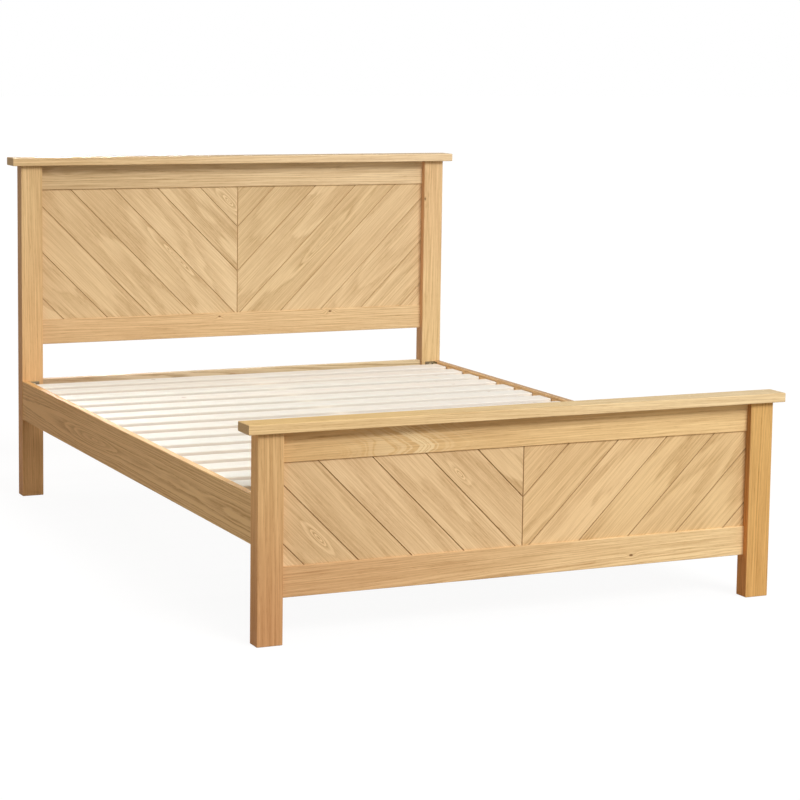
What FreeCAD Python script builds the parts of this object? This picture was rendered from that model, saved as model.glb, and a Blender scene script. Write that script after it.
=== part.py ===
import FreeCAD, Part
import Sketcher
import math
import os
import re

# A slatted double bed frame in oak: panelled head and foot ends whose boards are laid in a chevron,
# flat caps, two bolted side rails and a deck of pine slats over a centre rail.
# Millimetres. X runs across the bed, Y from the foot to the head, Z up.
# The origin is on the floor under the middle of the bed.

# Driving sizes
SIZES = {
    # mattress and the room left round it
    "mattress_width": 1350,
    "mattress_length": 1900,
    "mattress_side_gap": 17,
    "mattress_end_gap": 10,
    # posts
    "post_width": 66,
    "post_depth": 45,
    "arris": 1.2,
    # side rails
    "side_rail_thickness": 20,
    "side_rail_height": 120,
    "side_rail_bottom": 239,
    "side_rail_setback": 1,
    # rail across the head end
    "cross_rail_thickness": 20,
    "cross_rail_height": 122,
    "cross_rail_bottom": 240,
    "cross_rail_setback": 10,
    # rails that frame the panels
    "frame_rail_thickness": 25,
    "frame_rail_height": 75,
    "frame_rail_setback": 18,
    "head_rail_bottom": 469,
    "foot_rail_bottom": 110,
    "tenon_length": 24,
    "tenon_thickness": 10,
    "tenon_shoulder": 11,
    "joint_clearance": 0.2,
    # panels
    "head_panel_height": 402,
    "foot_panel_height": 250,
    "panel_setback": 4,
    "panel_housing": 8,
    "panel_float": 0.5,
    "panel_slack": 0.1,
    "backing_thickness": 6,
    "board_thickness": 9,
    "board_width": 100,
    "board_angle": 45,
    "first_groove_drop": 128,
    "groove_half_width": 1.6,
    "groove_depth": 2.4,
    # caps
    "cap_thickness": 24,
    "cap_side_overhang": 28,
    "cap_face_overhang": 13,
    "cap_round": 2,
    # slat deck
    "slat_width": 72,
    "slat_thickness": 18,
    "slat_count": 16,
    "slat_drop": 8,
    "slat_end_gap": 2,
    "slat_bolt_gap": 5,
    "slat_arris": 2,
    "ledge_width": 30,
    "ledge_height": 32,
    "ledge_end_gap": 45,
    "centre_rail_width": 45,
    "centre_rail_height": 54,
    "batten_thickness": 30,
    "batten_height": 36,
    "batten_end_gap": 1,
    "leg_width": 45,
    "leg_glide_radius": 17,
    "leg_glide_height": 5,
    "stud_radius": 4,
    "stud_length": 60,
    # steel hanger of the centre rail
    "hanger_thickness": 2.5,
    "hanger_height": 44,
    "hanger_depth": 40,
    "hanger_flange": 20,
    "hanger_hole_radius": 2.5,
    "hanger_hole_inset": 11,
    "hanger_clearance": 0.3,
    # corner brackets and their bolts
    "bracket_thickness": 3,
    "bracket_height": 68,
    "bracket_post_leg": 32,
    "bracket_rail_leg": 23,
    "bracket_bend": 2,
    "bracket_drop": 2,
    "bolt_radius": 3,
    "bolt_head_across_flats": 10,
    "bolt_head_height": 4,
    "bolt_length": 20,
    "bolt_edge": 10,
    "bolt_post_offset": 16,
    "bolt_rail_offset": 14,
    "bolt_clearance": 0.2,
    # loose tongues between the caps and the ends, and between the side rails and the posts
    "tongue_width": 30,
    "tongue_thickness": 8,
    "tongue_depth": 20,
    "tongue_cap_depth": 13,
    "tongue_clearance": 0.1,
    "rail_tongue_edge": 35,
    "post_tongue_inset": 25,
    "cap_tongue_spacing": 300,
}

# Sizes and places that follow from the driving sizes
LAYOUT = {
    "half_inner_width": "mattress_width / 2 + mattress_side_gap",
    "half_width": "half_inner_width + side_rail_thickness + side_rail_setback",
    "half_span": "half_width - post_width",
    "half_inner_length": "mattress_length / 2 + mattress_end_gap",
    "half_length": "half_inner_length + post_depth",
    "head_front": "half_inner_length",
    "foot_front": "-half_length",
    "panel_thickness": "board_thickness + backing_thickness",
    "panel_front": "frame_rail_setback + panel_setback",
    "panel_half_width": "half_span + panel_housing",
    "housing_depth": "panel_housing + panel_float",
    "head_panel_base": "head_rail_bottom + frame_rail_height - panel_housing",
    "head_top_rail_bottom": "head_rail_bottom + frame_rail_height + head_panel_height",
    "head_post_height": "head_top_rail_bottom + frame_rail_height",
    "foot_panel_base": "foot_rail_bottom + frame_rail_height - panel_housing",
    "foot_top_rail_bottom": "foot_rail_bottom + frame_rail_height + foot_panel_height",
    "foot_post_height": "foot_top_rail_bottom + frame_rail_height",
    "rail_axis": "frame_rail_setback + frame_rail_thickness / 2",
    "cross_rail_axis": "cross_rail_setback + cross_rail_thickness / 2",
    "side_rail_top": "side_rail_bottom + side_rail_height",
    "slat_base": "side_rail_top - slat_drop - slat_thickness",
    "slat_length": "2 * (half_inner_width - slat_end_gap)",
    "slat_margin": "bolt_rail_offset + bolt_head_across_flats / 2 + slat_bolt_gap",
    "slat_pitch": "(2 * (half_inner_length - slat_margin) - slat_width) / (slat_count - 1)",
    "board_rise": "board_width / cos(board_angle * 1 deg)",
    "board_run_out": "2 * board_width * tan(board_angle * 1 deg)",
    "board_length": "panel_half_width / cos(board_angle * 1 deg) + 2 * board_run_out",
    "centre_rail_base": "slat_base - centre_rail_height",
    "batten_base": "centre_rail_base - batten_height",
    "centre_rail_foot_end": "-half_inner_length + batten_end_gap",
    "centre_rail_head_end": "half_inner_length + cross_rail_setback",
    "leg_height": "centre_rail_base - leg_glide_height",
    "bracket_base": "side_rail_top - bracket_drop - bracket_height",
    "bolt_hole_depth": "bolt_length - bracket_thickness + bolt_clearance",
}

doc = FreeCAD.newDocument("BedFrame")
sheet = doc.addObject("Spreadsheet::Sheet", "Sizes")


def fill_sheet():
    """Driving sizes as numbers, then the layout as formulas, each with its alias."""
    row = 1
    for alias, number in SIZES.items():
        sheet.set(f"A{row}", alias)
        sheet.set(f"B{row}", str(number))
        sheet.setAlias(f"B{row}", alias)
        row += 1
    doc.recompute()
    for alias, formula in LAYOUT.items():
        sheet.set(f"A{row}", alias)
        sheet.set(f"B{row}", "=" + formula)
        sheet.setAlias(f"B{row}", alias)
        doc.recompute()
        row += 1


def linked(formula):
    """The formula with each alias written as a reference to the sheet."""
    def reference(match):
        word = match.group()
        return f"Sizes.{word}" if word in SIZES or word in LAYOUT else word

    return re.sub(r"[a-z_]+", reference, formula)


def value(formula):
    """The formula's present value as a plain number."""
    result = sheet.evalExpression(linked(formula))
    return float(getattr(result, "Value", result))


def bind(feature, prop, formula):
    feature.setExpression(prop, linked(formula))


def place(feature, x, y, z):
    """Bind the feature's position to three formulas."""
    bind(feature, "Placement.Base.x", x)
    bind(feature, "Placement.Base.y", y)
    bind(feature, "Placement.Base.z", z)


def new_body(label):
    body = doc.addObject("PartDesign::Body", label)
    body.Label = label
    return body


def attach(sketch, body, role, offset):
    """Lay the sketch on one of the body's own origin planes, moved along its normal."""
    plane = next(item for item in body.Origin.OriginFeatures if item.Role == role)
    sketch.AttachmentSupport = [(plane, "")]
    sketch.MapMode = "FlatFace"
    if offset:
        bind(sketch, "AttachmentOffset.Base.z", offset)


def pin_point(sketch, geometry, point, x, y):
    """Hold one point of the sketch at formulas x and y."""
    for kind, axis, formula in (("DistanceX", -2, x), ("DistanceY", -1, y)):
        if formula == "0":
            sketch.addConstraint(Sketcher.Constraint("PointOnObject", geometry, point, axis))
        else:
            rule = Sketcher.Constraint(kind, -1, 1, geometry, point, value(formula))
            index = sketch.addConstraint(rule)
            bind(sketch, f"Constraints[{index}]", formula)


def draw_outline(sketch, corners):
    """A closed outline of straight lines through corners given as pairs of formulas."""
    points = [FreeCAD.Vector(value(x), value(y), 0) for x, y in corners]
    first = sketch.GeometryCount
    count = len(points)
    for i in range(count):
        sketch.addGeometry(Part.LineSegment(points[i], points[(i + 1) % count]))
    for i, (x, y) in enumerate(corners):
        following = first + (i + 1) % count
        sketch.addConstraint(Sketcher.Constraint("Coincident", first + i, 2, following, 1))
        pin_point(sketch, first + i, 1, x, y)


def draw_circle(sketch, x, y, radius):
    centre = FreeCAD.Vector(value(x), value(y), 0)
    circle = sketch.addGeometry(Part.Circle(centre, FreeCAD.Vector(0, 0, 1), value(radius)))
    pin_point(sketch, circle, 3, x, y)
    index = sketch.addConstraint(Sketcher.Constraint("Radius", circle, value(radius)))
    bind(sketch, f"Constraints[{index}]", radius)


def outlines(body, name, role, loops, offset=""):
    sketch = body.newObject("Sketcher::SketchObject", name)
    attach(sketch, body, role, offset)
    for corners in loops:
        draw_outline(sketch, corners)
    return sketch


def circles(body, name, role, centres, radius, offset=""):
    sketch = body.newObject("Sketcher::SketchObject", name)
    attach(sketch, body, role, offset)
    for x, y in centres:
        draw_circle(sketch, x, y, radius)
    return sketch


def pad(body, sketch, length, reverse=False):
    feature = body.newObject("PartDesign::Pad", sketch.Name + "_pad")
    feature.Profile = sketch
    feature.Reversed = reverse
    bind(feature, "Length", length)
    doc.recompute()
    return feature


def pocket(body, sketch, depth, reverse=False):
    """Cut the sketch into the body, and stop if nothing was cut."""
    before = body.Shape.Volume
    feature = body.newObject("PartDesign::Pocket", sketch.Name + "_pocket")
    feature.Profile = sketch
    feature.Reversed = reverse
    bind(feature, "Length", depth)
    doc.recompute()
    if body.Shape.Volume > before - 1:
        raise RuntimeError(f"{sketch.Name} cuts nothing")
    return feature


def edge_names(shape, wanted):
    """Names of the shape's edges that the test accepts."""
    return [f"Edge{i}" for i, edge in enumerate(shape.Edges, 1) if wanted(edge)]


def dress(body, kind, base, wanted, size_property, size):
    """Fillet or chamfer the chosen edges of the feature."""
    feature = body.newObject(f"PartDesign::{kind}", f"{body.Name}_{kind.lower()}")
    feature.Base = (base, edge_names(base.Shape, wanted))
    bind(feature, size_property, size)
    doc.recompute()
    return feature


def box_corners(x0, y0, x1, y1):
    return [(x0, y0), (x1, y0), (x1, y1), (x0, y1)]


def eased_corners(width, height, ease):
    """A rectangle from the origin with its four corners cut off."""
    far_x = f"{width} - {ease}"
    far_y = f"{height} - {ease}"
    return [
        (ease, "0"), (far_x, "0"), (width, ease), (width, far_y),
        (far_x, height), (ease, height), ("0", far_y), ("0", ease),
    ]


def mirrored(source, label, normal):
    """The source's mirror image across the plane through the origin."""
    image = doc.addObject("Part::Mirroring", label)
    image.Label = label
    image.Source = source
    image.Normal = normal
    image.Base = FreeCAD.Vector(0, 0, 0)
    return image


ACROSS = FreeCAD.Vector(1, 0, 0)
ALONG = FreeCAD.Vector(0, 1, 0)


def group(label, members):
    """One node made of separate solids."""
    compound = doc.addObject("Part::Compound", label)
    compound.Label = label
    compound.Links = members
    return compound


def loose_sketch(name, corners, rotation):
    """A section sketch of its own, for pieces that are extruded from it."""
    sketch = doc.addObject("Sketcher::SketchObject", name)
    sketch.Placement = FreeCAD.Placement(FreeCAD.Vector(0, 0, 0), rotation)
    draw_outline(sketch, corners)
    doc.recompute()
    return sketch


def extrusion(label, sketch, length):
    feature = doc.addObject("Part::Extrusion", label)
    feature.Label = label
    feature.Base = sketch
    feature.DirMode = "Normal"
    feature.Solid = True
    bind(feature, "LengthFwd", length)
    return feature


FLAT = FreeCAD.Rotation()
SECTION_ACROSS = FreeCAD.Rotation(FreeCAD.Vector(1, 1, 1), 120)
SECTION_ALONG = FreeCAD.Rotation(FreeCAD.Vector(1, 0, 0), 90)

# Radii of the holes for bolts and the leg's stud
BOLT_HOLE = "bolt_radius + bolt_clearance"
STUD_HOLE = "stud_radius + bolt_clearance"


# Posts
# Each post stands in its own frame: x from its outer face, y from its show face, z from the floor.
def mortise_corners(axis, thickness, bottom, top):
    half = f"{thickness} / 2 + joint_clearance"
    return box_corners(f"{axis} - ({half})", f"{bottom} - joint_clearance",
                       f"{axis} + {half}", f"{top} + joint_clearance")


def tenon_heights(bottom, height):
    return f"{bottom} + tenon_shoulder", f"{bottom} + {height} - tenon_shoulder"


def tongue_mouth(x, y, width, height):
    """The outline of a loose tongue's mortise round its middle."""
    half_x = f"({width} / 2 + tongue_clearance)"
    half_y = f"({height} / 2 + tongue_clearance)"
    return box_corners(f"{x} - {half_x}", f"{y} - {half_y}", f"{x} + {half_x}", f"{y} + {half_y}")


def cap_mouth(x, y):
    return tongue_mouth(x, y, "tongue_width", "tongue_thickness")


def rail_mouth(x, z):
    return tongue_mouth(x, z, "tongue_thickness", "tongue_width")


def post(label, end, rail_face_at_front):
    """A left-hand post with its mortises, panel groove and bolt holes."""
    body = new_body(label)
    height = f"{end}_post_height"
    corners = box_corners("0", "0", "post_width", "post_depth")
    blank = pad(body, outlines(body, f"{label}_section", "XY_Plane", [corners]), height)
    dress(body, "Chamfer", blank, lambda edge: edge.BoundBox.ZMin < 0.001, "Size", "arris")

    mortises = [
        mortise_corners("rail_axis", "tenon_thickness", *tenon_heights(bottom, "frame_rail_height"))
        for bottom in (f"{end}_rail_bottom", f"{end}_top_rail_bottom")
    ]
    if end == "head":
        spread = tenon_heights("cross_rail_bottom", "cross_rail_height")
        mortises.append(mortise_corners("cross_rail_axis", "tenon_thickness", *spread))
    sketch = outlines(body, f"{label}_mortises", "YZ_Plane", mortises, "post_width")
    pocket(body, sketch, "tenon_length + joint_clearance")

    base = f"{end}_panel_base"
    groove = box_corners("panel_front - panel_slack", f"{base} - panel_float",
                         "panel_front + panel_thickness + panel_slack",
                         f"{base} + {end}_panel_height + 2 * panel_housing + panel_float")
    sketch = outlines(body, f"{label}_groove", "YZ_Plane", [groove], "post_width")
    pocket(body, sketch, "housing_depth")

    mouth = cap_mouth("post_tongue_inset", "post_depth / 2")
    sketch = outlines(body, f"{label}_cap_mortise", "XY_Plane", [mouth], height)
    pocket(body, sketch, "tongue_depth")

    rail_face = "" if rail_face_at_front else "-post_depth"
    reverse = not rail_face_at_front
    mouths = [rail_mouth("side_rail_setback + side_rail_thickness / 2", z) for z in rail_tongue_heights()]
    sketch = outlines(body, f"{label}_rail_mortises", "XZ_Plane", mouths, rail_face)
    pocket(body, sketch, "tongue_depth", reverse)
    bolt_x = "side_rail_setback + side_rail_thickness + bolt_post_offset"
    holes = [(bolt_x, z) for z in bolt_heights()]
    sketch = circles(body, f"{label}_bolt_holes", "XZ_Plane", holes, BOLT_HOLE, rail_face)
    pocket(body, sketch, "bolt_hole_depth", reverse)
    place(body, "-half_width", f"{end}_front", "0")
    return body


def rail_tongue_heights():
    return ("side_rail_bottom + rail_tongue_edge", "side_rail_top - rail_tongue_edge")


def bolt_heights():
    return ("bracket_base + bolt_edge", "bracket_base + bracket_height - bolt_edge")


# Rails between the posts
# Each rail lies in its own frame: x from its left shoulder, y from its show face, z from its lower edge.
def add_tenons(body, height, thickness):
    """One bar through the rail that stands out as a tenon at each end."""
    y0 = f"({thickness} - tenon_thickness) / 2"
    y1 = f"({thickness} + tenon_thickness) / 2"
    corners = box_corners(y0, "tenon_shoulder", y1, f"{height} - tenon_shoulder")
    sketch = outlines(body, f"{body.Name}_tenons", "YZ_Plane", [corners], "-tenon_length")
    pad(body, sketch, "2 * (half_span + tenon_length)")


def frame_rail(label, end, bottom, groove_on_top):
    """A panel rail: eased section with the panel groove in one edge, and tenons."""
    body = new_body(label)
    near = "panel_setback - panel_slack"
    far = "panel_setback + panel_thickness + panel_slack"
    thick, high, floor = "frame_rail_thickness", "frame_rail_height", "frame_rail_height - housing_depth"
    corners = [
        ("arris", "0"), (f"{thick} - arris", "0"), (thick, "arris"), (thick, f"{high} - arris"),
        (f"{thick} - arris", high), (far, high), (far, floor), (near, floor), (near, high),
        ("arris", high), ("0", f"{high} - arris"), ("0", "arris"),
    ]
    if not groove_on_top:
        corners = [(y, turned_over(z)) for y, z in corners]
    section = outlines(body, f"{label}_section", "YZ_Plane", [corners])
    pad(body, section, "2 * half_span")
    add_tenons(body, high, thick)
    if not groove_on_top:
        mouths = [cap_mouth(f"half_span {sign} cap_tongue_spacing", f"{thick} / 2") for sign in "-+"]
        sketch = outlines(body, f"{label}_cap_mortises", "XY_Plane", mouths, high)
        pocket(body, sketch, "tongue_depth")
    place(body, "-half_span", f"{end}_front + frame_rail_setback", bottom)
    return body


def turned_over(height):
    """A height in the rail's section measured from the other edge."""
    if height == "0":
        return "frame_rail_height"
    if height == "frame_rail_height":
        return "0"
    return f"frame_rail_height - ({height})"


def cross_rail(label):
    """The plain rail across the head end behind the slat deck."""
    body = new_body(label)
    corners = eased_corners("cross_rail_thickness", "cross_rail_height", "arris")
    section = outlines(body, f"{label}_section", "YZ_Plane", [corners])
    pad(body, section, "2 * half_span")
    add_tenons(body, "cross_rail_height", "cross_rail_thickness")
    place(body, "-half_span", "head_front + cross_rail_setback", "cross_rail_bottom")
    return body


# Chevron panels
def board_count(end):
    """Boards that cover the half panel, from the one above the first groove to the lowest corner."""
    angle = math.radians(value("board_angle"))
    first_groove = value(f"{end}_top_rail_bottom - first_groove_drop")
    lowest = value(f"{end}_panel_base") - value("panel_half_width") * math.tan(angle)
    return 1 + math.ceil((first_groove - lowest) / value("board_rise") - 0.001)


def chevron(end):
    """The right-hand boards of a panel, mitred at the centre, and their mirror image."""
    field = extrusion(f"{end}_field", field_section, f"{end}_panel_height + 2 * panel_housing")
    place(field, "0", f"{end}_front + panel_front", f"{end}_panel_base")
    boards = []
    for index in range(board_count(end)):
        plank = extrusion(f"{end}_plank_{index}", board_section, "board_length")
        plank.Placement.Rotation = FreeCAD.Rotation(ALONG, 90 - value("board_angle"))
        bind(plank, "Placement.Rotation.Angle", "90 - board_angle")
        upper_edge = f"{end}_top_rail_bottom - first_groove_drop + (1 - {index}) * board_rise"
        place(plank, "-board_run_out * cos(board_angle * 1 deg)", f"{end}_front + panel_front",
              f"{upper_edge} - board_run_out * sin(board_angle * 1 deg)")
        board = doc.addObject("Part::Common", f"{end}_board_{index}")
        board.Base = plank
        board.Tool = field
        boards.append(board)
    right = group(f"{end}_chevron_right", boards)
    return right, mirrored(right, f"{end}_chevron_left", ACROSS)


def backing(end):
    """The thin panel that the boards are glued to."""
    sheet_panel = doc.addObject("Part::Box", f"{end}_panel_back")
    sheet_panel.Label = f"{end}_panel_back"
    bind(sheet_panel, "Length", "2 * panel_half_width")
    bind(sheet_panel, "Width", "backing_thickness")
    bind(sheet_panel, "Height", f"{end}_panel_height + 2 * panel_housing")
    front = f"{end}_front + panel_front + board_thickness"
    place(sheet_panel, "-panel_half_width", front, f"{end}_panel_base")
    return sheet_panel


# Caps
def cap(label, end):
    """The flat board on top of an end, with rounded edges and blind mortises underneath."""
    body = new_body(label)
    length = "2 * (half_width + cap_side_overhang)"
    depth = "post_depth + 2 * cap_face_overhang"
    sketch = outlines(body, f"{label}_outline", "XY_Plane", [box_corners("0", "0", length, depth)])
    blank = pad(body, sketch, "cap_thickness")
    dress(body, "Fillet", blank, lambda edge: edge.BoundBox.ZLength < 0.001, "Radius", "cap_round")
    middle = "half_width + cap_side_overhang"
    post_row = "cap_face_overhang + post_depth / 2"
    rail_row = "cap_face_overhang + rail_axis"
    mouths = []
    for sign in "-+":
        mouths.append(cap_mouth(f"{middle} {sign} (half_width - post_tongue_inset)", post_row))
        mouths.append(cap_mouth(f"{middle} {sign} cap_tongue_spacing", rail_row))
    sketch = outlines(body, f"{label}_mortises", "XY_Plane", mouths)
    pocket(body, sketch, "tongue_cap_depth", reverse=True)
    place(body, "-half_width - cap_side_overhang", f"{end}_front - cap_face_overhang", f"{end}_post_height")
    return body


def tongue(name, x_size, y_size, z_size, x, y, z):
    """A loose tongue whose lowest corner is at the given place."""
    block = doc.addObject("Part::Box", name)
    bind(block, "Length", x_size)
    bind(block, "Width", y_size)
    bind(block, "Height", z_size)
    place(block, x, y, z)
    return block


def cap_tongues(label, end):
    """Upright tongues between the cap and what stands under it."""
    seats = {
        "post": ("half_width - post_tongue_inset", f"{end}_front + post_depth / 2"),
        "rail": ("cap_tongue_spacing", f"{end}_front + rail_axis"),
    }
    pieces = [
        tongue(f"{label}_{name}", "tongue_width", "tongue_thickness", "tongue_depth + tongue_cap_depth",
               f"{x} - tongue_width / 2", f"{y} - tongue_thickness / 2", f"{end}_post_height - tongue_depth")
        for name, (x, y) in seats.items()
    ]
    right = group(f"{label}_right", pieces)
    left = mirrored(right, f"{label}_left", ACROSS)
    return group(label, [right, left])


# Side rails with their ledges
def side_rail(label):
    """The left-hand rail, in a frame with x from its outer face and y from the foot."""
    body = new_body(label)
    corners = eased_corners("side_rail_thickness", "side_rail_height", "arris")
    section = outlines(body, f"{label}_section", "XZ_Plane", [corners])
    pad(body, section, "2 * half_inner_length", reverse=True)
    heights = [f"{z} - side_rail_bottom" for z in rail_tongue_heights()]
    mouths = [rail_mouth("side_rail_thickness / 2", z) for z in heights]
    for name, offset, reverse in (("foot", "", False), ("head", "-2 * half_inner_length", True)):
        sketch = outlines(body, f"{label}_{name}_mortises", "XZ_Plane", mouths, offset)
        pocket(body, sketch, "tongue_depth", reverse)
    rows = ("bolt_rail_offset", "2 * half_inner_length - bolt_rail_offset")
    holes = [(y, f"{z} - side_rail_bottom") for y in rows for z in bolt_heights()]
    sketch = circles(body, f"{label}_bolts", "YZ_Plane", holes, BOLT_HOLE, "side_rail_thickness")
    pocket(body, sketch, "bolt_hole_depth")
    place(body, "-half_width + side_rail_setback", "-half_inner_length", "side_rail_bottom")
    return body


def slat_ledge(label):
    """The batten on a side rail's inner face that the slats lie on."""
    ledge = extrusion(label, ledge_section, "2 * (half_inner_length - ledge_end_gap)")
    place(ledge, "-half_inner_width", "half_inner_length - ledge_end_gap", "slat_base - ledge_height")
    return ledge


def side_rail_tongues(label):
    """Locating tongues between each side rail and its posts."""
    pieces = [
        tongue(f"{label}_{index}", "tongue_thickness", "2 * tongue_depth", "tongue_width",
               "-half_inner_width - (side_rail_thickness + tongue_thickness) / 2",
               "-half_inner_length - tongue_depth", f"{z} - tongue_width / 2")
        for index, z in enumerate(rail_tongue_heights())
    ]
    return four_corners(label, group(f"{label}_foot_left", pieces))


def four_corners(label, foot_left):
    """A node that repeats a group of solids at the four corners of the bed."""
    head_left = mirrored(foot_left, f"{label}_head_left", ALONG)
    foot_right = mirrored(foot_left, f"{label}_foot_right", ACROSS)
    head_right = mirrored(head_left, f"{label}_head_right", ACROSS)
    return group(label, [foot_left, foot_right, head_left, head_right])


# Slat deck
def slats():
    """Slats spread evenly over the length that the bolts of the corner brackets leave free."""
    count = round(value("slat_count"))
    made = []
    for index in range(count):
        slat = extrusion(f"slat_{index + 1:02d}", slat_section, "slat_length")
        middle = f"({index} - {(count - 1) / 2}) * slat_pitch"
        place(slat, "-slat_length / 2", f"{middle} - slat_width / 2", "slat_base")
        made.append(slat)
    return made


def centre_rail(label):
    body = new_body(label)
    corners = eased_corners("centre_rail_width", "centre_rail_height", "arris")
    section = outlines(body, f"{label}_section", "XZ_Plane", [corners])
    pad(body, section, "centre_rail_head_end - centre_rail_foot_end", reverse=True)
    hole = [("centre_rail_width / 2", "-centre_rail_foot_end")]
    sketch = circles(body, f"{label}_stud_hole", "XY_Plane", hole, STUD_HOLE)
    pocket(body, sketch, "stud_length / 2", reverse=True)
    place(body, "-centre_rail_width / 2", "centre_rail_foot_end", "centre_rail_base")
    return body


def foot_batten(label):
    """The batten across the foot posts that carries the centre rail's foot end."""
    batten = doc.addObject("Part::Box", label)
    batten.Label = label
    bind(batten, "Length", "2 * (half_inner_width - batten_end_gap)")
    bind(batten, "Width", "batten_thickness")
    bind(batten, "Height", "batten_height")
    place(batten, "-half_inner_width + batten_end_gap", "-half_inner_length", "batten_base")
    return batten


def centre_leg(label):
    body = new_body(label)
    corners = eased_corners("leg_width", "leg_width", "arris")
    pad(body, outlines(body, f"{label}_section", "XY_Plane", [corners]), "leg_height")
    middle = [("leg_width / 2", "leg_width / 2")]
    sketch = circles(body, f"{label}_stud_hole", "XY_Plane", middle, STUD_HOLE, "leg_height")
    pocket(body, sketch, "stud_length / 2")
    place(body, "-leg_width / 2", "-leg_width / 2", "leg_glide_height")
    return body


def leg_glide(label):
    """The round pad under the centre leg."""
    glide = doc.addObject("Part::Cylinder", label)
    glide.Label = label
    bind(glide, "Radius", "leg_glide_radius")
    bind(glide, "Height", "leg_glide_height")
    return glide


def leg_stud(label):
    """The dowel screw that joins the leg to the centre rail."""
    stud = doc.addObject("Part::Cylinder", label)
    stud.Label = label
    bind(stud, "Radius", "stud_radius")
    bind(stud, "Height", "stud_length")
    place(stud, "0", "0", "centre_rail_base - stud_length / 2")
    return stud


def hanger(label):
    """The folded steel seat on the head cross rail for the centre rail's head end."""
    body = new_body(label)
    thick, flange, high = "hanger_thickness", "hanger_flange", "hanger_height"
    inner = f"{flange} + {thick}"
    cavity = "centre_rail_width + 2 * hanger_clearance"
    far_inner = f"{inner} + {cavity}"
    far_outer = f"{far_inner} + {thick}"
    far_edge = f"{far_outer} + {flange}"
    seat = [
        (flange, "0"), (far_outer, "0"), (far_outer, high), (far_inner, high),
        (far_inner, thick), (inner, thick), (inner, high), (flange, high),
    ]
    pad(body, outlines(body, f"{label}_seat", "XZ_Plane", [seat]), "hanger_depth")
    flanges = [box_corners("0", "0", inner, high), box_corners(far_inner, "0", far_edge, high)]
    pad(body, outlines(body, f"{label}_flanges", "XZ_Plane", flanges), thick)
    columns = ("hanger_hole_inset", f"{far_edge} - hanger_hole_inset")
    rows = ("hanger_hole_inset", f"{high} - hanger_hole_inset")
    holes = [(x, z) for x in columns for z in rows]
    sketch = circles(body, f"{label}_holes", "XZ_Plane", holes, "hanger_hole_radius")
    pocket(body, sketch, thick, reverse=True)
    place(body, f"-({far_edge}) / 2", "centre_rail_head_end", f"centre_rail_base - {thick}")
    return body


# Corner fittings
def bracket(label):
    """The foot left bracket: a bent steel angle, with x from the rail's face and y from the post's."""
    body = new_body(label)
    thick, post_leg, rail_leg = "bracket_thickness", "bracket_post_leg", "bracket_rail_leg"
    angle = [
        ("0", "0"), (post_leg, "0"), (post_leg, thick),
        (thick, thick), (thick, rail_leg), ("0", rail_leg),
    ]
    blank = pad(body, outlines(body, f"{label}_angle", "XY_Plane", [angle]), "bracket_height")
    inside = FreeCAD.Vector(value(thick), value(thick), 0)

    def is_upright_at(edge, corner):
        return all(abs(v.X - corner.x) + abs(v.Y - corner.y) < 0.001 for v in edge.Vertexes)

    bend = dress(body, "Fillet", blank, lambda edge: is_upright_at(edge, inside), "Radius", "bracket_bend")
    outer = body.newObject("PartDesign::Fillet", f"{label}_outer_bend")
    outer.Base = (bend, edge_names(bend.Shape, lambda edge: is_upright_at(edge, FreeCAD.Vector(0, 0, 0))))
    bind(outer, "Radius", "bracket_bend + bracket_thickness")
    doc.recompute()
    heights = [f"{z} - bracket_base" for z in bolt_heights()]
    for name, plane, offset, reverse in (
        ("post", "XZ_Plane", "bolt_post_offset", False),
        ("rail", "YZ_Plane", "bolt_rail_offset", True),
    ):
        sketch = circles(body, f"{label}_{name}_holes", plane, [(offset, z) for z in heights], BOLT_HOLE)
        pocket(body, sketch, thick, reverse)
    place(body, "-half_inner_width", "-half_inner_length", "bracket_base")
    return body


def bolt(name, rotation, x, y, z):
    """A hexagon-headed bolt with its head's seat at the given place."""
    head = doc.addObject("Part::Prism", f"{name}_head")
    head.Polygon = 6
    bind(head, "Circumradius", "bolt_head_across_flats / 2 / cos(30 deg)")
    bind(head, "Height", "bolt_head_height")
    shank = doc.addObject("Part::Cylinder", f"{name}_shank")
    bind(shank, "Radius", "bolt_radius")
    bind(shank, "Height", "bolt_length")
    place(shank, "0", "0", "-bolt_length")
    whole = doc.addObject("Part::Fuse", name)
    whole.Base = head
    whole.Tool = shank
    whole.Placement.Rotation = rotation
    place(whole, x, y, z)
    return whole


def bracket_bolts(label):
    """Four bolts at each bracket: two into the post and two into the rail."""
    facing_head = FreeCAD.Rotation(ACROSS, -90)
    facing_in = FreeCAD.Rotation(ALONG, 90)
    bolts = []
    for index, z in enumerate(bolt_heights()):
        bolts.append(bolt(f"{label}_post_{index}", facing_head, "-half_inner_width + bolt_post_offset",
                          "-half_inner_length + bracket_thickness", z))
        bolts.append(bolt(f"{label}_rail_{index}", facing_in, "-half_inner_width + bracket_thickness",
                          "-half_inner_length + bolt_rail_offset", z))
    return four_corners(label, group(f"{label}_foot_left", bolts))


def check_model(nodes):
    """Stop if any object failed, or any node is empty or not valid."""
    for item in doc.Objects:
        if "Invalid" in item.State or "Error" in item.State:
            raise RuntimeError(f"{item.Name} failed: {item.State}")
    for node in nodes:
        if node.Shape.isNull() or not node.Shape.isValid() or not node.Shape.Solids:
            raise RuntimeError(f"{node.Label} has no valid solid")


fill_sheet()

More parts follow.
